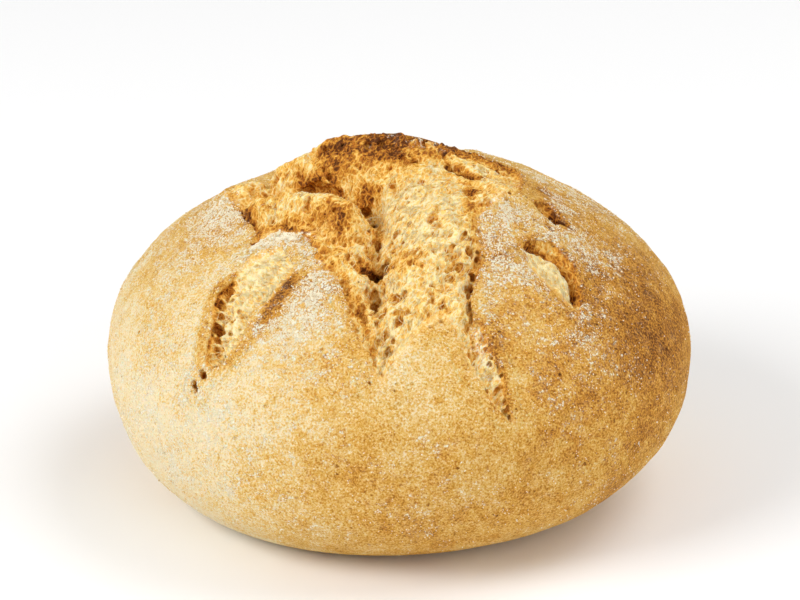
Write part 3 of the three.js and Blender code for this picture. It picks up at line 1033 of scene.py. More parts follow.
@dataclass
class TornCrumb:
    """The crumb that shows in one tear, with the crust's ragged edge round it, meshed from a volume.

    Lengths are in millimetres, and bubble_straying is in degrees. Seat, wall_width, torn_start and torn_end
    are pairs: a number, and what a flush edge adds to it.
    """

    relief: Relief
    baking: Baking
    tear: Tear
    seed: int
    grid: float = 0.25
    margin: float = 3.2
    border_cells: int = 3
    room_cells: tuple[int, int] = (2, 4)
    overlap: float = 2.2
    crust_lift: float = 0.03
    crust_sink: float = 0.6
    thickness: float = 1.0
    sheet: Unevenness = Unevenness(0.4, 3.0, 5.0, middle=0.85)
    sheet_taper: float = 0.8
    seat: tuple[float, float] = (0.5, -0.45)
    most_proud: float = 2.6
    wall_start: float = -0.3
    wall_width: tuple[float, float] = (1.0, 2.0)
    block_depth: float = 5.6
    hidden_depth: float = 3.4
    shown_share: float = 0.1
    clusters: Unevenness = Unevenness(0.75, 3.0, middle=0.55)
    bubbles: tuple[Bubbles, ...] = (
        Bubbles((0.75, 1.2), 0.16, 2.0),
        Bubbles((0.42, 0.75), 0.55, 1.2),
        Bubbles((0.26, 0.42), 0.9, 0.8),
    )
    bubble_edge: float = -0.8
    bubble_lift: tuple[float, float] = (-0.9, 0.45)
    bubble_stretch: tuple[float, float] = (1.0, 1.9)
    bubble_height: tuple[float, float] = (0.9, 1.3)
    bubble_straying: float = 25.0
    bubble_softness: float = 0.14
    bubble_cells: int = 3
    pocket_sink: float = 0.6
    rough_reach: float = 0.9
    fibre_bend: Unevenness = Unevenness(0.9, 5.0)
    ridges: Unevenness = Unevenness(0.22, (2.8, 0.75, 1.2))
    lumps: tuple[Unevenness, ...] = (Unevenness(0.20, 1.3, 40.0), Unevenness(0.20, 0.62, 80.0))
    blisters: Unevenness = Unevenness(1.0, 1.0, 120.0)
    blister_height: float = 0.40
    bared: Slope = Slope(0.25, 0.8)
    torn_start: tuple[float, float] = (0.1, -0.9)
    torn_end: tuple[float, float] = (0.7, 1.6)
    open_toast: Slope = Slope(-2.4, 0.1)
    # Painted shade: the crumb browns the deeper a place sinks below its face, in pits and hollows.
    shallow_painted_shade: Slope = Slope(-0.12, -0.8, 0.26)
    deep_painted_shade: Slope = Slope(-0.7, -2.3, 0.42)
    edge_toast: float = 0.35
    edge_width: float = 0.7
    edge_depth: Slope = Slope(2.2, 0.3)
    noise: LatticeNoise = LatticeNoise(37)

    def build(self, material: bpy.types.Material) -> bpy.types.Object:
        """Make the crumb.

        Args:
            material: Its finish.

        Returns:
            The piece.
        """
        self.draw_maps()
        random = np.random.default_rng(self.seed)
        solid = self.block()
        self.take_bubbles_out(solid, random)
        self.roughen(solid)
        solid = np.maximum(solid, self.crust_sheet())
        solid = np.minimum(solid, (self.margin + self.inside)[:, :, None])
        points, faces = self.thinned(*self.mesh_of(solid))
        low, high = points[:, 2].min(), points[:, 2].max()
        log.info("%s: standing %.2f to %.2f mm off the dome", self.tear.name, low, high)
        return self.dress(points, faces, material)

    @staticmethod
    def by_flush(numbers: tuple[float, float], flush: Array) -> Array:
        """Take the first number and as much of the second as the edge is flush."""
        return numbers[0] + numbers[1] * flush

    def draw_maps(self) -> None:
        """Work out the heights over a square grid of [u, v] that covers the tear."""
        corners = self.tear.corners
        border = self.margin + self.border_cells * self.grid
        low, high = corners.min(axis=0) - border, corners.max(axis=0) + border
        self.us = np.arange(low[0], high[0], self.grid)
        self.vs = np.arange(low[1], high[1], self.grid)
        skin = np.stack(np.meshgrid(self.us, self.vs, indexing="ij"), axis=-1).reshape(-1, 2)
        size = (len(self.us), len(self.vs))
        self.skin = skin
        self.inside = self.tear.inside(skin).reshape(size)
        self.ragged_inside = self.inside + self.relief.raggedness(skin).reshape(size)
        sink = self.crust_sink * ramp(-self.inside, self.overlap, self.margin)
        self.crust_top = self.relief.crust(skin).reshape(size) + self.crust_lift - sink
        crumb = self.relief.crumb(skin, self.tear).reshape(size)
        self.flush = self.tear.flushness(skin).reshape(size)
        wall = ramp(self.ragged_inside, self.wall_start, self.by_flush(self.wall_width, self.flush))
        under_crust = self.crust_top - self.thickness * self.by_flush(self.seat, self.flush)
        crumb = np.minimum(crumb, under_crust + self.most_proud)
        self.body_top = under_crust + (crumb - under_crust) * wall
        slopes = np.gradient(self.body_top, self.grid)
        self.lean = 1.0 / np.sqrt(1.0 + slopes[0] ** 2 + slopes[1] ** 2)
        self.toasted_and_shaded = self.baking.toast_and_shade(skin, self.tear).reshape(size)
        air = self.tear.plain_air + total_of(self.tear.air, skin)
        self.air = np.clip(air * self.clusters.over(self.noise, flat_points(skin)), 0, 1).reshape(size)
        near = self.inside > -self.margin
        low_top = self.body_top[near].min() - self.block_depth - self.room_cells[0] * self.grid
        high_top = max(self.crust_top[near].max(), self.body_top[near].max())
        self.hs = np.arange(low_top, high_top + self.room_cells[1] * self.grid, self.grid)

    def block(self) -> Array:
        """Fill the block of crumb, positive inside it and about as large as the distance to its face."""
        gap = self.body_top[:, :, None] - self.hs[None, None, :]
        return np.minimum(gap * self.lean[:, :, None], self.block_depth - gap).astype(np.float32)

    def crust_sheet(self) -> Array:
        """Fill the sheet of crust round the opening, which reaches a little over it."""
        below = self.crust_top[:, :, None] - self.hs[None, None, :]
        uneven = self.sheet.over(self.noise, flat_points(self.skin)).reshape(self.inside.shape)
        sheet = np.minimum(below, (self.thickness * uneven)[:, :, None] - below)
        return np.minimum(sheet, -self.ragged_inside[:, :, None] * self.sheet_taper).astype(np.float32)

    def take_bubbles_out(self, solid: Array, random: np.random.Generator) -> None:
        """Take the bubbles out of the crumb.

        Args:
            solid: The block of crumb, which is changed.
            random: Where the bubbles' places and sizes are drawn from.
        """
        for u, v, radius in self.tear.pockets:
            top = self.read_map(self.body_top, np.array([[u, v]]))[0]
            self.take_out(solid, random, (u, v), top - self.pocket_sink * radius, radius)
        choices = np.flatnonzero(self.inside.ravel() > self.bubble_edge)
        area = len(choices) * self.grid**2
        for size in self.bubbles:
            picks = random.choice(choices, int(area * size.to_a_square))
            kept = picks[random.uniform(size=len(picks)) < self.air.ravel()[picks] ** size.picky]
            for pick in kept:
                radius = random.uniform(*size.radius)
                middle = self.body_top.ravel()[pick] + random.uniform(*self.bubble_lift) * radius
                self.take_out(solid, random, tuple(self.skin[pick]), middle, radius)

    def take_out(
        self,
        solid: Array,
        random: np.random.Generator,
        at: tuple[float, float],
        middle: float,
        radius: float,
    ) -> None:
        """Take one bubble out, stretched along the fibres.

        Args:
            solid: The block, which is changed.
            random: Where the bubble's unevenness is drawn from.
            at: Its [u, v].
            middle: The height of its middle.
            radius: Its radius before it is stretched.
        """
        stretch = random.uniform(*self.bubble_stretch)
        column = (round((at[0] - self.us[0]) / self.grid), round((at[1] - self.vs[0]) / self.grid))
        turn = math.radians(self.tear.turn + random.normal(0.0, self.bubble_straying))
        level = round((middle - self.hs[0]) / self.grid)
        reach = int(radius * stretch / self.grid) + self.bubble_cells
        if level + reach < 1:
            return
        box = tuple(slice(max(0, centre - reach), centre + reach + 1) for centre in (*column, level))
        du = (self.us[box[0]] - at[0])[:, None, None]
        dv = (self.vs[box[1]] - at[1])[None, :, None]
        dh = (self.hs[box[2]] - middle)[None, None, :]
        along = (du * math.cos(turn) + dv * math.sin(turn)) / stretch
        across = dv * math.cos(turn) - du * math.sin(turn)
        up = dh / random.uniform(*self.bubble_height)
        shell = np.sqrt(along**2 + across**2 + up**2) - radius
        solid[box] = smooth_min(solid[box], shell, self.bubble_softness)

    def roughen(self, solid: Array) -> None:
        """Give the crumb's face its small lumps and the fibres of torn dough.

        Args:
            solid: The block with its bubbles open, which is changed.
        """
        near = np.abs(solid) < self.rough_reach
        columns = np.nonzero(near)
        heights = self.hs[columns[2]]
        points = np.column_stack([self.us[columns[0]], self.vs[columns[1]], heights]).astype(np.float32)
        bent = points[:, :2] + self.fibre_bend.over(self.noise, points)[:, None]
        fibre = np.column_stack([self.tear.grained(bent), heights]).astype(np.float32)
        ridges = self.ridges.over(self.noise, fibre)
        lumps = all_over(self.lumps, self.noise, points)
        tall = self.blister_height * self.toasted_and_shaded[columns[:2]]
        solid[near] += ridges + lumps + tall * self.blisters.over(self.noise, points)

    def mesh_of(self, solid: Array) -> tuple[Array, Array]:
        """Mesh the volume and keep its largest connected part.

        Args:
            solid: The volume, positive inside.

        Returns:
            The points as [u, v, height], and the triangles' point numbers.
        """
        for face in (solid[0], solid[-1], solid[:, 0], solid[:, -1], solid[:, :, 0], solid[:, :, -1]):
            face[...] = -1.0
        limit = self.border_cells * self.grid
        volume = openvdb.FloatGrid(limit)
        volume.copyFromArray(np.clip(-solid, -limit, limit).astype(np.float32))
        points, triangles, quads = volume.convertToPolygons(isovalue=0.0, adaptivity=0.0)
        faces = np.vstack([triangles, quads[:, [0, 1, 2]], quads[:, [0, 2, 3]]]).astype(np.int64)
        faces = self.largest_part(len(points), faces)
        used = np.unique(faces)
        number = np.full(len(points), -1)
        number[used] = np.arange(len(used))
        origin = np.array([self.us[0], self.vs[0], self.hs[0]])
        return points[used] * self.grid + origin, number[faces]

    @staticmethod
    def largest_part(count: int, faces: Array) -> Array:
        """Drop every face that isn't joined to the largest connected part.

        Args:
            count: How many points there are.
            faces: The triangles' point numbers.

        Returns:
            The triangles that stay.
        """
        label = np.arange(count)
        while True:
            lowest = label[faces].min(axis=1)
            new = label.copy()
            for corner in range(3):
                np.minimum.at(new, faces[:, corner], lowest)
            new = new[new]
            if np.array_equal(new, label):
                break
            label = new
        names, sizes = np.unique(label[faces[:, 0]], return_counts=True)
        return faces[label[faces[:, 0]] == names[np.argmax(sizes)]]

    def thinned(self, points: Array, faces: Array) -> tuple[Array, Array]:
        """Merge small triangles of a mesh that has too many, starting on its hidden underside.

        Args:
            points: The points as [u, v, height].
            faces: The triangles' point numbers.

        Returns:
            The points and the triangles that are left.
        """
        if len(faces) <= MOST_FACES:
            return points, faces
        log.info("%s: thinning %d faces", self.tear.name, len(faces))
        draft = bpy.data.objects.new("draft", mesh_from("draft", points, faces))
        bpy.context.scene.collection.objects.link(draft)
        hidden = self.read_map(self.body_top, points[:, :2]) - points[:, 2] > self.hidden_depth
        group = draft.vertex_groups.new(name="thinned")
        group.add(np.flatnonzero(hidden).tolist(), 1.0, "REPLACE")
        group.add(np.flatnonzero(~hidden).tolist(), self.shown_share, "REPLACE")
        thin = draft.modifiers.new("thin", "DECIMATE")
        thin.vertex_group = group.name
        thin.ratio = MOST_FACES / len(faces)
        evaluated = draft.evaluated_get(bpy.context.evaluated_depsgraph_get())
        points, faces = arrays_of(evaluated.to_mesh())
        evaluated.to_mesh_clear()
        bpy.data.meshes.remove(draft.data)
        return points, faces

    def dress(self, points: Array, faces: Array, material: bpy.types.Material) -> bpy.types.Object:
        """Bend the mesh over the dome and note how browned and floury it is, with painted shade in its
        hollows.

        Args:
            points: The points as [u, v, height].
            faces: The triangles' point numbers.
            material: The finish.

        Returns:
            The piece.
        """
        skin = points[:, :2]
        places = self.relief.dome.place(skin, points[:, 2]) * MM
        corners = places[faces]
        volume = np.einsum("ij,ij->i", corners[:, 0], np.cross(corners[:, 1], corners[:, 2])).sum()
        if volume < 0:
            faces = faces[:, ::-1]
        mesh = mesh_from(self.tear.name, places, faces)
        smooth = self.relief.dome.place(skin)
        below_crust = self.read_map(self.crust_top, skin) - points[:, 2]
        inside = self.read_map(self.ragged_inside, skin)
        flush = self.read_map(self.flush, skin)
        torn = ramp(inside, self.by_flush(self.torn_start, flush), self.by_flush(self.torn_end, flush))
        crumb = np.maximum(self.bared.at(below_crust), torn)
        proud = points[:, 2] - self.read_map(self.body_top, skin)
        toast_and_shade = self.baking.toast_and_shade(skin, self.tear) * self.open_toast.at(proud)
        # Painted shade in the crumb's pits and hollows, by how deep they sink.
        toast_and_shade += self.shallow_painted_shade.at(proud) + self.deep_painted_shade.at(proud)
        edge = self.edge_toast * (1 - flush) * np.exp(-((inside / self.edge_width) ** 2))
        toast_and_shade = np.clip(toast_and_shade + edge * self.edge_depth.at(below_crust), 0, 1)
        edge_gap = self.relief.edge_gap(skin, self.read_map(self.inside, skin))
        crust = self.baking.crust(skin, smooth, edge_gap)
        flour = self.baking.flour(skin, smooth), total_of(self.baking.crumb_flour, skin)
        # The brown number holds the crust's browning with painted light, and the crumb's toasting with
        # painted shade.
        write_numbers(mesh, "brown", crust * (1 - crumb) + toast_and_shade * crumb)
        write_numbers(mesh, "flour", flour[0] * (1 - crumb) + flour[1] * crumb)
        write_numbers(mesh, "crumb", crumb)
        write_numbers(mesh, "strand", np.column_stack([self.tear.grained(skin), points[:, 2]]))
        return show_piece(f"crumb_{self.tear.name}", mesh, material)

    def read_map(self, values: Array, skin: Array) -> Array:
        """Read one of the maps between its grid points.

        Args:
            values: The map.
            skin: An (n, 2) array of [u, v].

        Returns:
            The map's value at each place.
        """
        place = (skin - (self.us[0], self.vs[0])) / self.grid
        corner = np.clip(np.floor(place).astype(int), 0, np.array(values.shape) - 2)
        share = place - corner
        i, j = corner[:, 0], corner[:, 1]
        near = values[i, j] * (1 - share[:, 0]) + values[i + 1, j] * share[:, 0]
        far = values[i, j + 1] * (1 - share[:, 0]) + values[i + 1, j + 1] * share[:, 0]
        return near * (1 - share[:, 1]) + far * share[:, 1]


@dataclass
class FlourDusting:
    """Loose grains of flour on the crust, thickest where the flour lies thickest."""

    pieces: tuple[bpy.types.Object, ...]
    count: int = 22000
    size: tuple[float, float] = (0.08, 0.16)
    smallness: float = 2.5
    stretch: tuple[float, float] = (0.6, 1.3)
    sink: float = 0.25
    gathering: float = 2.0
    clumps: Unevenness = Unevenness(1.0, 1.8, layers=3, fade=0.8)
    clumped: Slope = Slope(-0.3, 0.7)
    most_crumb: float = 0.3
    seed: int = 7
    noise: LatticeNoise = LatticeNoise(61)

    def build(self, material: bpy.types.Material) -> bpy.types.Object:
        """Make the grains, all in one piece.

        Args:
            material: Their finish.

        Returns:
            The piece.
        """
        random = np.random.default_rng(self.seed)
        corners, weights = self.crust_faces()
        chosen = corners[random.choice(len(corners), self.count, p=weights / weights.sum())]
        share = random.dirichlet((1.0, 1.0, 1.0), self.count)
        points = np.einsum("ij,ijk->ik", share, chosen)
        outward = crosses_of(chosen)
        outward /= np.linalg.norm(outward, axis=1)[:, None]
        largeness = random.uniform(size=self.count) ** self.smallness
        size = self.size[0] + (self.size[1] - self.size[0]) * largeness
        points += outward * (size * MM * (1 - 2 * self.sink))[:, None]
        shape, faces = self.grain()
        stretch = random.uniform(*self.stretch, (self.count, 1, 3))
        turned = np.einsum("nij,nkj->nki", self.turns(random), shape[None] * stretch)
        grains = points[:, None] + turned * (size * MM)[:, None, None]
        numbers = faces[None] + len(shape) * np.arange(self.count)[:, None, None]
        mesh = mesh_from("flour", grains.reshape(-1, 3), numbers.reshape(-1, 3))
        write_numbers(mesh, "shade", np.repeat(random.uniform(size=self.count), len(shape)))
        return show_piece("flour_grains", mesh, material)

    @staticmethod
    def grain() -> tuple[Array, Array]:
        """Make one grain, a rough eight-sided lump.

        Returns:
            Its points and its triangles' point numbers.
        """
        shape = bmesh.new()
        bmesh.ops.create_uvsphere(shape, u_segments=4, v_segments=2, radius=1.0)
        mesh = bpy.data.meshes.new("grain")
        shape.to_mesh(mesh)
        shape.free()
        arrays = arrays_of(mesh)
        bpy.data.meshes.remove(mesh)
        return arrays

    def turns(self, random: np.random.Generator) -> Array:
        """Draw a random turn for each grain.

        Args:
            random: Where the turns are drawn from.

        Returns:
            An (n, 3, 3) array of turning matrices.
        """
        w, x, y, z = random.normal(size=(4, self.count))
        length = np.sqrt(w * w + x * x + y * y + z * z)
        w, x, y, z = w / length, x / length, y / length, z / length
        rows = [
            [1 - 2 * (y * y + z * z), 2 * (x * y - z * w), 2 * (x * z + y * w)],
            [2 * (x * y + z * w), 1 - 2 * (x * x + z * z), 2 * (y * z - x * w)],
            [2 * (x * z - y * w), 2 * (y * z + x * w), 1 - 2 * (x * x + y * y)],
        ]
        return np.array(rows).transpose(2, 0, 1)

    def crust_faces(self) -> tuple[Array, Array]:
        """Gather the triangles of crust that flour lies on.

        Returns:
            Their corners, and how much flour each gets.
        """
        corners, weights = [], []
        for piece in self.pieces:
            points, faces = arrays_of(piece.data)
            flour, crumb = (numbers_of(piece.data, name)[faces].mean(axis=1) for name in ("flour", "crumb"))
            own = points[faces]
            area = 0.5 * np.linalg.norm(crosses_of(own), axis=1)
            corners.append(own)
            clumps = self.clumped.at(self.clumps.over(self.noise, own.mean(axis=1) / MM))
            weights.append(area * flour**self.gathering * clumps * (crumb < self.most_crumb))
        return np.concatenate(corners), np.concatenate(weights)


@dataclass
class CrumbFibres:
    """Fine fibres of dough that lie over the torn crumb and span its holes."""

    pieces: tuple[tuple[bpy.types.Object, Tear], ...]
    dome: Dome
    to_a_square: float = 2.6
    reach: tuple[float, float] = (0.7, 2.4)
    radius: tuple[float, float] = (0.035, 0.08)
    end_radius: float = 0.55
    lift: tuple[float, float] = (0.04, 0.17)
    bowing: float = 0.08
    sink: float = 0.05
    straying: float = 0.5
    toast_and_shade: tuple[float, float] = (0.1, 0.7)
    roll_middle: tuple[float, float, float] = (0.0, 0.0, 0.01)
    least_crumb: float = 0.7
    least_facing: float = 0.1
    paleness: Slope = Slope(0.42, 0.1)
    landings: int = 30000
    stations: int = 7
    sides: int = 3
    seed: int = 51

    def build(self, material: bpy.types.Material) -> bpy.types.Object:
        """Make the fibres, all in one piece.

        Args:
            material: Their finish.

        Returns:
            The piece.
        """
        random = np.random.default_rng(self.seed)
        spans = [self.spans_on(piece, tear, random) for piece, tear in self.pieces]
        start, end, outward, brown = (np.concatenate(parts) for parts in zip(*spans))
        tubes = self.tubes(start, end, outward, random)
        count = self.stations * self.sides
        faces = self.tube_faces()[None] + count * np.arange(len(start))[:, None, None]
        mesh = mesh_from("fibres", tubes.reshape(-1, 3), faces.reshape(-1, 3))
        write_numbers(mesh, "brown", np.repeat(brown * random.uniform(*self.toast_and_shade, len(brown)), count))
        write_numbers(mesh, "flour", np.zeros(len(start) * count))
        write_numbers(mesh, "crumb", np.ones(len(start) * count))
        write_numbers(mesh, "strand", tubes.reshape(-1, 3) / MM)
        return show_piece("crumb_fibres", mesh, material)

    def spans_on(
        self, piece: bpy.types.Object, tear: Tear, random: np.random.Generator
    ) -> tuple[Array, ...]:
        """Pick pairs of places on one piece's crumb for fibres to join.

        Args:
            piece: The piece.
            tear: The tear it shows in.
            random: Where the picks are drawn from.

        Returns:
            Where the fibres start and end, the way out of the surface, and how browned it is there.
        """
        points, faces = arrays_of(piece.data)
        brown, crumb = (numbers_of(piece.data, name)[faces].mean(axis=1) for name in ("brown", "crumb"))
        corners = points[faces]
        outward = crosses_of(corners)
        area = 0.5 * np.linalg.norm(outward, axis=1)
        outward /= np.maximum(2 * area, LEAST_AREA)[:, None]
        middle = corners.mean(axis=1)
        skyward = middle - self.roll_middle
        facing = np.einsum("ij,ij->i", outward, skyward / np.linalg.norm(skyward, axis=1)[:, None])
        chosen = (crumb > self.least_crumb) & (facing > self.least_facing)
        weight = area * chosen * self.paleness.at(brown)
        picks = random.choice(len(faces), self.landings, p=weight / weight.sum())
        tree = KDTree(len(picks))
        for number, pick in enumerate(picks):
            tree.insert(middle[pick], number)
        tree.balance()
        along = self.fibre_way(tear)
        starts, ends = [], []
        for pick in picks[: round(self.to_a_square * weight.sum() / MM**2)]:
            way = along + random.normal(0.0, self.straying, 3)
            goal = middle[pick] + way / np.linalg.norm(way) * random.uniform(*self.reach) * MM
            starts.append(pick)
            ends.append(picks[tree.find(goal)[1]])
        return middle[starts], middle[ends], outward[starts], brown[starts]

    def fibre_way(self, tear: Tear) -> Array:
        """Find which way a tear's fibres run.

        Args:
            tear: The tear.

        Returns:
            A unit vector.
        """
        middle = np.array(tear.outline).mean(axis=0)
        angle = math.radians(tear.turn)
        ahead = middle + (math.cos(angle), math.sin(angle))
        here, there = self.dome.place(np.array([middle, ahead]))
        return (there - here) / np.linalg.norm(there - here)

    def tubes(self, start: Array, end: Array, outward: Array, random: np.random.Generator) -> Array:
        """Shape the fibres as thin arched tubes.

        Args:
            start: Where they start.
            end: Where they end.
            outward: The way out of the surface.
            random: Where their thickness and height are drawn from.

        Returns:
            An array of points: fibres by rings by three.
        """
        way = end - start
        length = np.maximum(np.linalg.norm(way, axis=1), LEAST_LENGTH)[:, None]
        way = way / length
        side = np.cross(outward, way)
        side /= np.maximum(np.linalg.norm(side, axis=1), LEAST_LENGTH)[:, None]
        up = np.cross(way, side)
        share = np.linspace(0.0, 1.0, self.stations)[None, :, None]
        arch = np.sin(math.pi * share)
        count = len(start)
        rise = random.uniform(*self.lift, count)[:, None] * length
        bow = random.normal(0.0, self.bowing, count)[:, None] * length
        line = start[:, None] + (end - start)[:, None] * share + side[:, None] * (bow[:, None] * arch)
        line = line + up[:, None] * (rise[:, None] * arch - self.sink * MM * (1 - arch))
        fullness = self.end_radius + (1 - self.end_radius) * arch[..., None]
        thick = random.uniform(*self.radius, count)[:, None, None, None] * MM * fullness
        angle = (np.arange(self.sides) * 2 * math.pi / self.sides)[None, None, :, None]
        ring = np.cos(angle) * side[:, None, None] + np.sin(angle) * up[:, None, None]
        return line[:, :, None] + thick * ring

    def tube_faces(self) -> Array:
        """Join the rings of one tube and close its ends.

        Returns:
            Its triangles' point numbers.
        """
        faces = []
        for ring in range(self.stations - 1):
            for side in range(self.sides):
                a = ring * self.sides + side
                b = ring * self.sides + (side + 1) % self.sides
                faces += [(a, b, b + self.sides), (a, b + self.sides, a + self.sides)]
        last = (self.stations - 1) * self.sides
        for side in range(1, self.sides - 1):
            faces += [(0, side + 1, side), (last, last + side, last + side + 1)]
        return np.array(faces)


# --------------------------------------------------------------------------------------------------
# Finishes
# --------------------------------------------------------------------------------------------------

Colour = tuple[float, float, float]
Stops = tuple[tuple[float, Colour], ...]
Fed = dict[str | int, object]


@dataclass(frozen=True)
class Grain:
    """A random pattern: its cells to the unit, its finer layers, and how strong those are."""

    scale: float
    detail: float
    roughness: float = 0.5


class Nodes:
    """A short way to place and join nodes in one tree."""

    def __init__(self, tree: bpy.types.NodeTree) -> None:
        """Start on a tree, which is emptied."""
        self.tree = tree
        tree.nodes.clear()

    def add(self, kind: str, fed: Fed | None = None, **settings: object) -> bpy.types.Node:
        """Place a node.

        Args:
            kind: Its type, without the leading word ShaderNode.
            fed: What goes into its inputs, by name or number.
            **settings: Its properties.

        Returns:
            The node.
        """
        node = self.tree.nodes.new(kind if kind.startswith("Node") else f"ShaderNode{kind}")
        for name, value in settings.items():
            setattr(node, name, value)
        for socket, value in (fed or {}).items():
            self.feed(node.inputs[socket], value)
        return node

    def own(self, name: str, output: str) -> Socket:
        """Read one of the mesh's own numbers or vectors."""
        return self.add("Attribute", attribute_name=name).outputs[output]

    def feed(self, socket: Socket, value: object) -> None:
        """Join an output to an input, or set the input's own value.

        Args:
            socket: The input.
            value: An output socket, or a plain value.
        """
        if isinstance(value, Socket):
            self.tree.links.new(value, socket)
        else:
            socket.default_value = value

    def math(self, operation: str, *values: object, clamp: bool = False) -> Socket:
        """Place a sum.

        Args:
            operation: Its name, such as MULTIPLY.
            *values: What goes in.
            clamp: True to keep the result from 0 to 1.

        Returns:
            The result.
        """
        return self.add("Math", dict(enumerate(values)), operation=operation, use_clamp=clamp).outputs[0]

    def weigh(self, *parts: tuple[object, float], clamp: bool = False) -> Socket:
        """Add up values, each times its own weight.

        Args:
            *parts: Pairs of a value and its weight.
            clamp: True to keep the sum from 0 to 1.

        Returns:
            The sum.
        """
        total: object = 0.0
        for number, (value, weight) in enumerate(parts):
            last = clamp and number == len(parts) - 1
            total = self.math("MULTIPLY_ADD", value, weight, total, clamp=last)
        return total

    def mix(self, share: object, first: object, second: object) -> Socket:
        """Mix two colours, with a share of the second."""
        return self.add("Mix", {"Factor": share, 6: first, 7: second}, data_type="RGBA").outputs[2]

    def noise(self, vector: object, grain: Grain) -> Socket:
        """Place a noise texture, with its middle value at 0."""
        fed = {"Vector": vector, "Scale": grain.scale, "Detail": grain.detail, "Roughness": grain.roughness}
        return self.math("SUBTRACT", self.add("TexNoise", fed).outputs["Fac"], 0.5)

    def cells(self, vector: object, scale: float) -> tuple[Socket, Socket]:
        """Place a texture of scattered cells.

        Args:
            vector: Where it is read.
            scale: Its cells to the unit.

        Returns:
            The distance from the nearest cell's middle, in cells, and a random number of that cell.
        """
        node = self.add("TexVoronoi", {"Vector": vector, "Scale": scale})
        parts = self.add("SeparateColor", {"Color": node.outputs["Color"]})
        return node.outputs["Distance"], parts.outputs["Red"]

    def walls(self, vector: object, scale: float) -> Socket:
        """Place a foam, so many cells to the unit, and measure the distance from its nearest wall."""
        node = self.add("TexVoronoi", {"Vector": vector, "Scale": scale}, feature="DISTANCE_TO_EDGE")
        return node.outputs["Distance"]

    def bent(self, vector: object, scale: float, amount: float) -> Socket:
        """Move the place where a pattern is read a little, so that its lines bend.

        Args:
            vector: The place.
            scale: How many bends to the unit.
            amount: How far the place moves.

        Returns:
            The moved place.
        """
        noise = self.add("TexNoise", {"Vector": vector, "Scale": scale})
        fed = {0: noise.outputs["Color"], 1: (amount,) * 3, 2: vector}
        return self.add("VectorMath", fed, operation="MULTIPLY_ADD").outputs["Vector"]

    def rise(self, value: object, slope: Slope) -> Socket:
        """Tell how far a slope has risen at a value."""
        fed = {"Value": value, "From Min": slope.start, "From Max": slope.end, "To Max": slope.amount}
        return self.add("MapRange", fed, interpolation_type="SMOOTHSTEP").outputs["Result"]

    def ramp(self, value: object, stops: Stops) -> Socket:
        """Turn a value into a colour.

        Args:
            value: The value.
            stops: Places from 0 to 1, each with its colour.

        Returns:
            The colour.
        """
        node = self.add("ValToRGB", {"Fac": value})
        elements = node.color_ramp.elements
        while len(elements) < len(stops):
            elements.new(0.5)
        for element, (place, colour) in zip(elements, stops):
            element.position = place
            element.color = (*colour, 1.0)
        return node.outputs["Color"]

    def show(self, surface: Fed) -> None:
        """Place the surface and show it, with what goes into its inputs by name."""
        shader = self.add("BsdfPrincipled", surface)
        self.add("OutputMaterial", {"Surface": shader.outputs["BSDF"]})


def new_material(name: str) -> tuple[bpy.types.Material, Nodes]:
    """Start a material.

    Args:
        name: Its name.

    Returns:
        The material and its nodes.
    """
    material = bpy.data.materials.new(name)
    material.use_nodes = True
    return material, Nodes(material.node_tree)


class SocketKind(Enum):
    """The kinds of value that go in and out of a node group."""

    NUMBER = "NodeSocketFloat"
    VECTOR = "NodeSocketVector"


def new_group(
    name: str, inputs: dict[str, SocketKind], outputs: tuple[str, ...]
) -> tuple[Nodes, bpy.types.Node, bpy.types.Node]:
    """Start a shader node group.

    Args:
        name: Its name.
        inputs: Its inputs and their kinds.
        outputs: Its outputs, which are all numbers.

    Returns:
        The group's nodes, its input node and its output node.
    """
    tree = bpy.data.node_groups.new(name, "ShaderNodeTree")
    for label, kind in inputs.items():
        tree.interface.new_socket(label, in_out="INPUT", socket_type=kind.value)
    for label in outputs:
        tree.interface.new_socket(label, in_out="OUTPUT", socket_type=SocketKind.NUMBER.value)
    nodes = Nodes(tree)
    return nodes, nodes.add("NodeGroupInput"), nodes.add("NodeGroupOutput")


@dataclass(frozen=True)
class FlourDust:
    """A dusting of flour: grains that lie closer where Cover is high. The Vector is in millimetres."""

    grain_cells: float = 2.6
    grain_edge: Slope = Slope(0.66, 0.40)
    clumps: tuple[Grain, ...] = (Grain(0.75, 4.0, 0.75), Grain(0.2, 2.0))
    clump_weights: tuple[float, ...] = (3.8, 1.2)
    clumping: tuple[float, float] = (2.6, 0.28)
    thickness: float = 0.85
    bareness: float = -0.35
    luck: float = -0.34
    lying: Slope = Slope(-0.02, 0.06)
    haze: Slope = Slope(0.0, 0.75, 0.10)

    def build(self) -> bpy.types.NodeTree:
        """Make the group.

        Returns:
            The group, which puts out the grains' Mask and the Haze of finer flour between them.
        """
        inputs = {"Vector": SocketKind.VECTOR, "Cover": SocketKind.NUMBER}
        nodes, taken, given = new_group("flour_dust", inputs, ("Mask", "Haze"))
        vector, cover = taken.outputs["Vector"], taken.outputs["Cover"]
        distance, luck = nodes.cells(vector, self.grain_cells)
        clumps = nodes.weigh(*zip((nodes.noise(vector, grain) for grain in self.clumps), self.clump_weights))
        reach = nodes.weigh((cover, self.clumping[0]), (self.clumping[1], 1.0), clamp=True)
        thickness = nodes.weigh((cover, self.thickness), (nodes.math("MULTIPLY", clumps, reach), 1.0))
        spare = nodes.weigh((thickness, 1.0), (luck, self.luck), (self.bareness, 1.0))
        mask = nodes.math("MULTIPLY", nodes.rise(distance, self.grain_edge), nodes.rise(spare, self.lying))
        nodes.feed(given.inputs["Mask"], mask)
        nodes.feed(given.inputs["Haze"], nodes.rise(thickness, self.haze))
        return nodes.tree


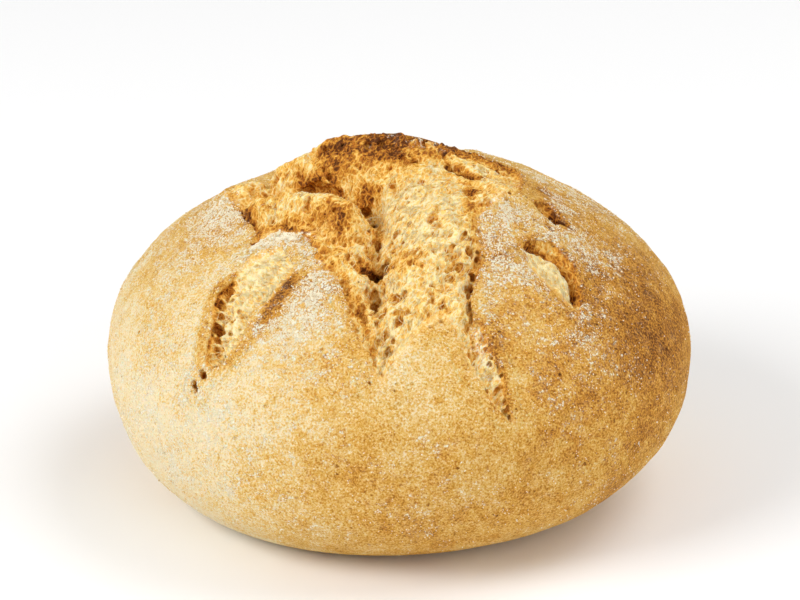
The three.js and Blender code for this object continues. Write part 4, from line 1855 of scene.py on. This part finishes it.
@dataclass(frozen=True)
class BakedMottle:
    """The uneven browning of a baked skin, from clouds down to specks. The Vector is in millimetres."""

    clouds: Grain = Grain(0.13, 4.0, 0.6)
    patches: Grain = Grain(0.45, 3.0, 0.6)
    specks: Grain = Grain(2.8, 2.0, 0.7)
    pit_cells: float = 0.42
    pit_edge: Slope = Slope(0.16, 0.06)
    pit_luck: Slope = Slope(0.62, 0.66)
    shifts: tuple[float, ...] = (0.50, 0.60, 1.7, 0.3)
    heights: tuple[float, ...] = (1.2, 1.3, -0.8)

    def build(self) -> bpy.types.NodeTree:
        """Make the group.

        Returns:
            The group, which puts out a Shift of the browning and the Height of the skin's grain.
        """
        nodes, taken, given = new_group("baked_mottle", {"Vector": SocketKind.VECTOR}, ("Shift", "Height"))
        vector = taken.outputs["Vector"]
        clouds, patches, specks = (
            nodes.noise(vector, grain) for grain in (self.clouds, self.patches, self.specks)
        )
        distance, luck = nodes.cells(vector, self.pit_cells)
        pit = nodes.math("MULTIPLY", nodes.rise(distance, self.pit_edge), nodes.rise(luck, self.pit_luck))
        shift = nodes.weigh(*zip((clouds, patches, specks, pit), self.shifts))
        nodes.feed(given.inputs["Shift"], shift)
        nodes.feed(given.inputs["Height"], nodes.weigh(*zip((patches, specks, pit), self.heights)))
        return nodes.tree


@dataclass(frozen=True)
class CrumbWeb:
    """The fine webs and fibres of torn crumb. The Vector is in millimetres, its X along the fibres."""

    bends: float = 0.8
    bend: float = 1.2
    squeezes: tuple[tuple[float, float, float], ...] = ((0.18, 1.0, 0.7), (0.5, 1.0, 0.7))
    streaks: Grain = Grain(3.6, 2.0, 0.6)
    webs: Grain = Grain(1.4, 3.0, 0.7)
    patches: Grain = Grain(0.35, 2.0, 0.6)
    foams: tuple[float, float] = (1.5, 0.65)
    wall: Slope = Slope(0.02, 0.2)
    shifts: tuple[float, ...] = (1.1, 1.2, 0.7, 0.46, 0.34)
    plain_shift: float = -0.50
    heights: tuple[float, ...] = (-1.1, -1.0, -0.1, -0.15)

    def build(self) -> bpy.types.NodeTree:
        """Make the group.

        Returns:
            The group, which puts out a Shift of browning and painted shade, and the Height of the webs.
        """
        nodes, taken, given = new_group("crumb_web", {"Vector": SocketKind.VECTOR}, ("Shift", "Height"))
        bent = nodes.bent(taken.outputs["Vector"], self.bends, self.bend)
        long, short = (
            nodes.add("Mapping", {"Vector": bent, "Scale": squeeze}, vector_type="POINT").outputs["Vector"]
            for squeeze in self.squeezes
        )
        streaks = nodes.noise(long, self.streaks)
        webs, patches = nodes.noise(short, self.webs), nodes.noise(short, self.patches)
        small, large = (nodes.rise(nodes.walls(short, scale), self.wall) for scale in self.foams)
        # Painted shade: webs, streaks and cell middles are browner where their Height sinks; the patches are
        # the crumb's own uneven colour.
        shift = nodes.weigh(
            *zip((streaks, webs, patches, small, large), self.shifts), (self.plain_shift, 1.0)
        )
        nodes.feed(given.inputs["Shift"], shift)
        nodes.feed(given.inputs["Height"], nodes.weigh(*zip((webs, streaks, small, large), self.heights)))
        return nodes.tree


@dataclass(frozen=True)
class BreadFinish:
    """The finish of the roll: baked crust, flour on it, and torn crumb."""

    crust_stops: Stops = (
        (0.0, (0.92, 0.775, 0.50)),
        (0.2, (0.85, 0.595, 0.225)),
        (0.4, (0.77, 0.44, 0.088)),
        (0.62, (0.61, 0.265, 0.036)),
        (0.82, (0.37, 0.142, 0.024)),
        (1.0, (0.13, 0.045, 0.011)),
    )
    crumb_stops: Stops = (
        (0.0, (1.0, 0.84, 0.48)),
        (0.16, (0.98, 0.70, 0.255)),
        (0.35, (0.90, 0.52, 0.115)),
        (0.55, (0.69, 0.30, 0.036)),
        (0.78, (0.43, 0.145, 0.02)),
        (1.0, (0.12, 0.036, 0.008)),
    )
    flour_colour: Colour = (1.0, 0.93, 0.74)
    flour_cover: float = 0.95
    roughness: float = 0.8
    specular: float = 0.09
    translucency: float = 0.24
    translucent_depth: float = 0.0007
    translucent_reach: Colour = (1.0, 0.55, 0.25)
    crust_shift: float = 1.0
    crumb_shift: float = 0.52
    crumb_mottle: float = 0.25
    brown_contrast: float = 0.1
    flour_height: float = 0.35
    bump_height: float = 0.0004

    def build(
        self, name: str, mottle: bpy.types.NodeTree, web: bpy.types.NodeTree, dust: bpy.types.NodeTree
    ) -> bpy.types.Material:
        """Make the material.

        Args:
            name: Its name.
            mottle: The group of uneven browning.
            web: The group of the crumb's webs.
            dust: The group of flour.

        Returns:
            The material.
        """
        material, nodes = new_material(name)
        fed = {"Vector": nodes.add("TexCoord").outputs["Object"], "Scale": (1 / MM, 1 / MM, 1 / MM)}
        place = nodes.add("Mapping", fed, vector_type="POINT").outputs["Vector"]
        brown, crumb, flour = (nodes.own(label, "Fac") for label in ("brown", "crumb", "flour"))
        uneven, webbed, dusting = (nodes.add("Group", node_tree=tree) for tree in (mottle, web, dust))
        nodes.feed(uneven.inputs["Vector"], place)
        nodes.feed(webbed.inputs["Vector"], nodes.own("strand", "Vector"))
        nodes.feed(dusting.inputs["Vector"], place)
        nodes.feed(dusting.inputs["Cover"], flour)
        mask = dusting.outputs["Mask"]
        crust_brown_and_painted_light = nodes.weigh((brown, 1.0), (uneven.outputs["Shift"], self.crust_shift), clamp=True)
        reach = nodes.weigh((brown, self.crumb_shift * self.brown_contrast), (1.0, self.crumb_shift))
        shift = nodes.weigh((webbed.outputs["Shift"], 1.0), (uneven.outputs["Shift"], self.crumb_mottle))
        shift = nodes.math("MULTIPLY", shift, reach)
        crumb_brown_and_shade = nodes.weigh((brown, 1.0), (shift, 1.0), clamp=True)
        crumb_colour = nodes.ramp(crumb_brown_and_shade, self.crumb_stops)
        colour = nodes.mix(crumb, nodes.ramp(crust_brown_and_painted_light, self.crust_stops), crumb_colour)
        cover = nodes.math("MULTIPLY", mask, self.flour_cover)
        for share in (dusting.outputs["Haze"], cover):
            colour = nodes.mix(share, colour, (*self.flour_colour, 1.0))
        crust_height = nodes.weigh((uneven.outputs["Height"], 1.0), (mask, self.flour_height))
        heights = {"Factor": crumb, "A": crust_height, "B": webbed.outputs["Height"]}
        height = nodes.add("Mix", heights, data_type="FLOAT").outputs["Result"]
        bump = nodes.add("Bump", {"Strength": 1.0, "Distance": self.bump_height, "Height": height})
        nodes.show({
            "Base Color": colour,
            "Normal": bump.outputs["Normal"],
            "Roughness": self.roughness,
            "Specular IOR Level": self.specular,
            "Subsurface Weight": self.translucency,
            "Subsurface Radius": self.translucent_reach,
            "Subsurface Scale": self.translucent_depth,
        })
        return material


@dataclass(frozen=True)
class FlourFinish:
    """The finish of loose flour grains: off-white, with a few darker ones of bran."""

    stops: Stops = ((0.0, (0.55, 0.36, 0.16)), (0.10, (0.94, 0.84, 0.60)), (1.0, (1.0, 0.94, 0.78)))
    flecks: Grain = Grain(1500.0, 1.0)
    fleck_amount: float = 0.25
    roughness: float = 0.9
    specular: float = 0.2

    def build(self, name: str) -> bpy.types.Material:
        """Make the material.

        Args:
            name: Its name.

        Returns:
            The material.
        """
        material, nodes = new_material(name)
        fleck = nodes.noise(nodes.add("TexCoord").outputs["Object"], self.flecks)
        shade = nodes.weigh((nodes.own("shade", "Fac"), 1.0), (fleck, self.fleck_amount), clamp=True)
        colour = nodes.ramp(shade, self.stops)
        nodes.show({"Base Color": colour, "Roughness": self.roughness, "Specular IOR Level": self.specular})
        return material


@dataclass(frozen=True)
class PlainFinish:
    """A plain matt finish, for the floor."""

    colour: Colour = (0.94, 0.94, 0.94)
    roughness: float = 0.9

    def build(self, name: str) -> bpy.types.Material:
        """Make the material.

        Args:
            name: Its name.

        Returns:
            The material.
        """
        material, nodes = new_material(name)
        nodes.show({"Base Color": (*self.colour, 1.0), "Roughness": self.roughness})
        return material


# --------------------------------------------------------------------------------------------------
# The studio
# --------------------------------------------------------------------------------------------------


@dataclass(frozen=True)
class Lamp:
    """One soft square lamp, aimed at the roll."""

    name: str
    azimuth: float
    elevation: float
    distance: float
    size: float
    watts: float
    colour: Colour = (1.0, 1.0, 1.0)


@dataclass
class Studio:
    """The floor, the soft light and the camera."""

    aim: tuple[float, float, float] = (0.00013, 0.0, 0.03265)
    camera_elevation: float = 24.0
    camera_distance: float = 0.6
    pixels_per_metre: float = 5800.0
    image_width: float = 800.0
    sensor_width: float = 36.0
    nearest: float = 0.05
    sky: float = 0.43
    floor_size: float = 6.0
    lamps: tuple[Lamp, ...] = (
        Lamp("key", -62.0, 36.0, 0.9, 0.45, 5.2),
        Lamp("fill", 45.0, 25.0, 1.1, 0.8, 2.85),
        Lamp("top", 100.0, 58.0, 1.0, 0.6, 4.2),
    )

    def build(self) -> None:
        """Set the studio up."""
        self.add_floor()
        self.add_sky()
        for lamp in self.lamps:
            self.add_lamp(lamp)
        self.add_camera()
        bpy.context.scene.view_settings.view_transform = "Standard"

    def add_floor(self) -> None:
        """Lay the pale floor."""
        shape = bmesh.new()
        bmesh.ops.create_grid(shape, x_segments=1, y_segments=1, size=self.floor_size / 2)
        mesh = bpy.data.meshes.new("floor")
        shape.to_mesh(mesh)
        shape.free()
        mesh.materials.append(PlainFinish().build("pale_floor"))
        floor = bpy.data.objects.new("floor", mesh)
        bpy.context.scene.collection.objects.link(floor)

    def add_sky(self) -> None:
        """Give the room its even pale light."""
        world = bpy.data.worlds.new("studio")
        world.use_nodes = True
        background = world.node_tree.nodes["Background"]
        background.inputs["Color"].default_value = (1.0, 1.0, 1.0, 1.0)
        background.inputs["Strength"].default_value = self.sky
        bpy.context.scene.world = world

    def around(self, azimuth: float, elevation: float, distance: float) -> Vector:
        """Find a place round the roll.

        Args:
            azimuth: Degrees from the front, to the right.
            elevation: Degrees above the floor.
            distance: Metres from the aim.

        Returns:
            The place.
        """
        turn, rise = math.radians(azimuth), math.radians(elevation)
        way = Vector((math.sin(turn) * math.cos(rise), -math.cos(turn) * math.cos(rise), math.sin(rise)))
        return Vector(self.aim) + way * distance

    def hang(self, data: bpy.types.ID, place: Vector) -> bpy.types.Object:
        """Put a lamp or the camera in its place, turned towards the roll.

        Args:
            data: The lamp or the camera.
            place: Where it goes.

        Returns:
            Its object.
        """
        thing = bpy.data.objects.new(data.name, data)
        thing.location = place
        thing.rotation_euler = (place - Vector(self.aim)).to_track_quat("Z", "Y").to_euler()
        bpy.context.scene.collection.objects.link(thing)
        return thing

    def add_lamp(self, lamp: Lamp) -> None:
        """Hang one lamp.

        Args:
            lamp: The lamp.
        """
        data = bpy.data.lights.new(lamp.name, "AREA")
        data.shape = "SQUARE"
        data.size = lamp.size
        data.energy = lamp.watts
        data.color = lamp.colour
        self.hang(data, self.around(lamp.azimuth, lamp.elevation, lamp.distance))

    def add_camera(self) -> None:
        """Set the camera up in front of the roll, looking a little down on it."""
        data = bpy.data.cameras.new("camera")
        data.sensor_width = self.sensor_width
        data.lens = self.sensor_width * self.pixels_per_metre * self.camera_distance / self.image_width
        data.clip_start = self.nearest
        place = self.around(0.0, self.camera_elevation, self.camera_distance)
        bpy.context.scene.camera = self.hang(data, place)


def main() -> None:
    """Build the roll and its studio."""
    logging.basicConfig(level=logging.INFO, format="%(name)s: %(message)s")
    Studio().build()
    relief = Relief()
    baking = Baking()
    patterns = BakedMottle().build(), CrumbWeb().build(), FlourDust().build()
    bread = BreadFinish().build("bread", *patterns)
    skin = Crust(relief, baking).build(bread)
    torn = []
    for number, tear in enumerate(relief.tears):
        torn.append(TornCrumb(relief, baking, tear, seed=CRUMB_SEED + number).build(bread))
    CrumbFibres(tuple(zip(torn, relief.tears)), relief.dome).build(bread)
    FlourDusting((skin, *torn)).build(FlourFinish().build("flour"))


if __name__ == "__main__":
    main()
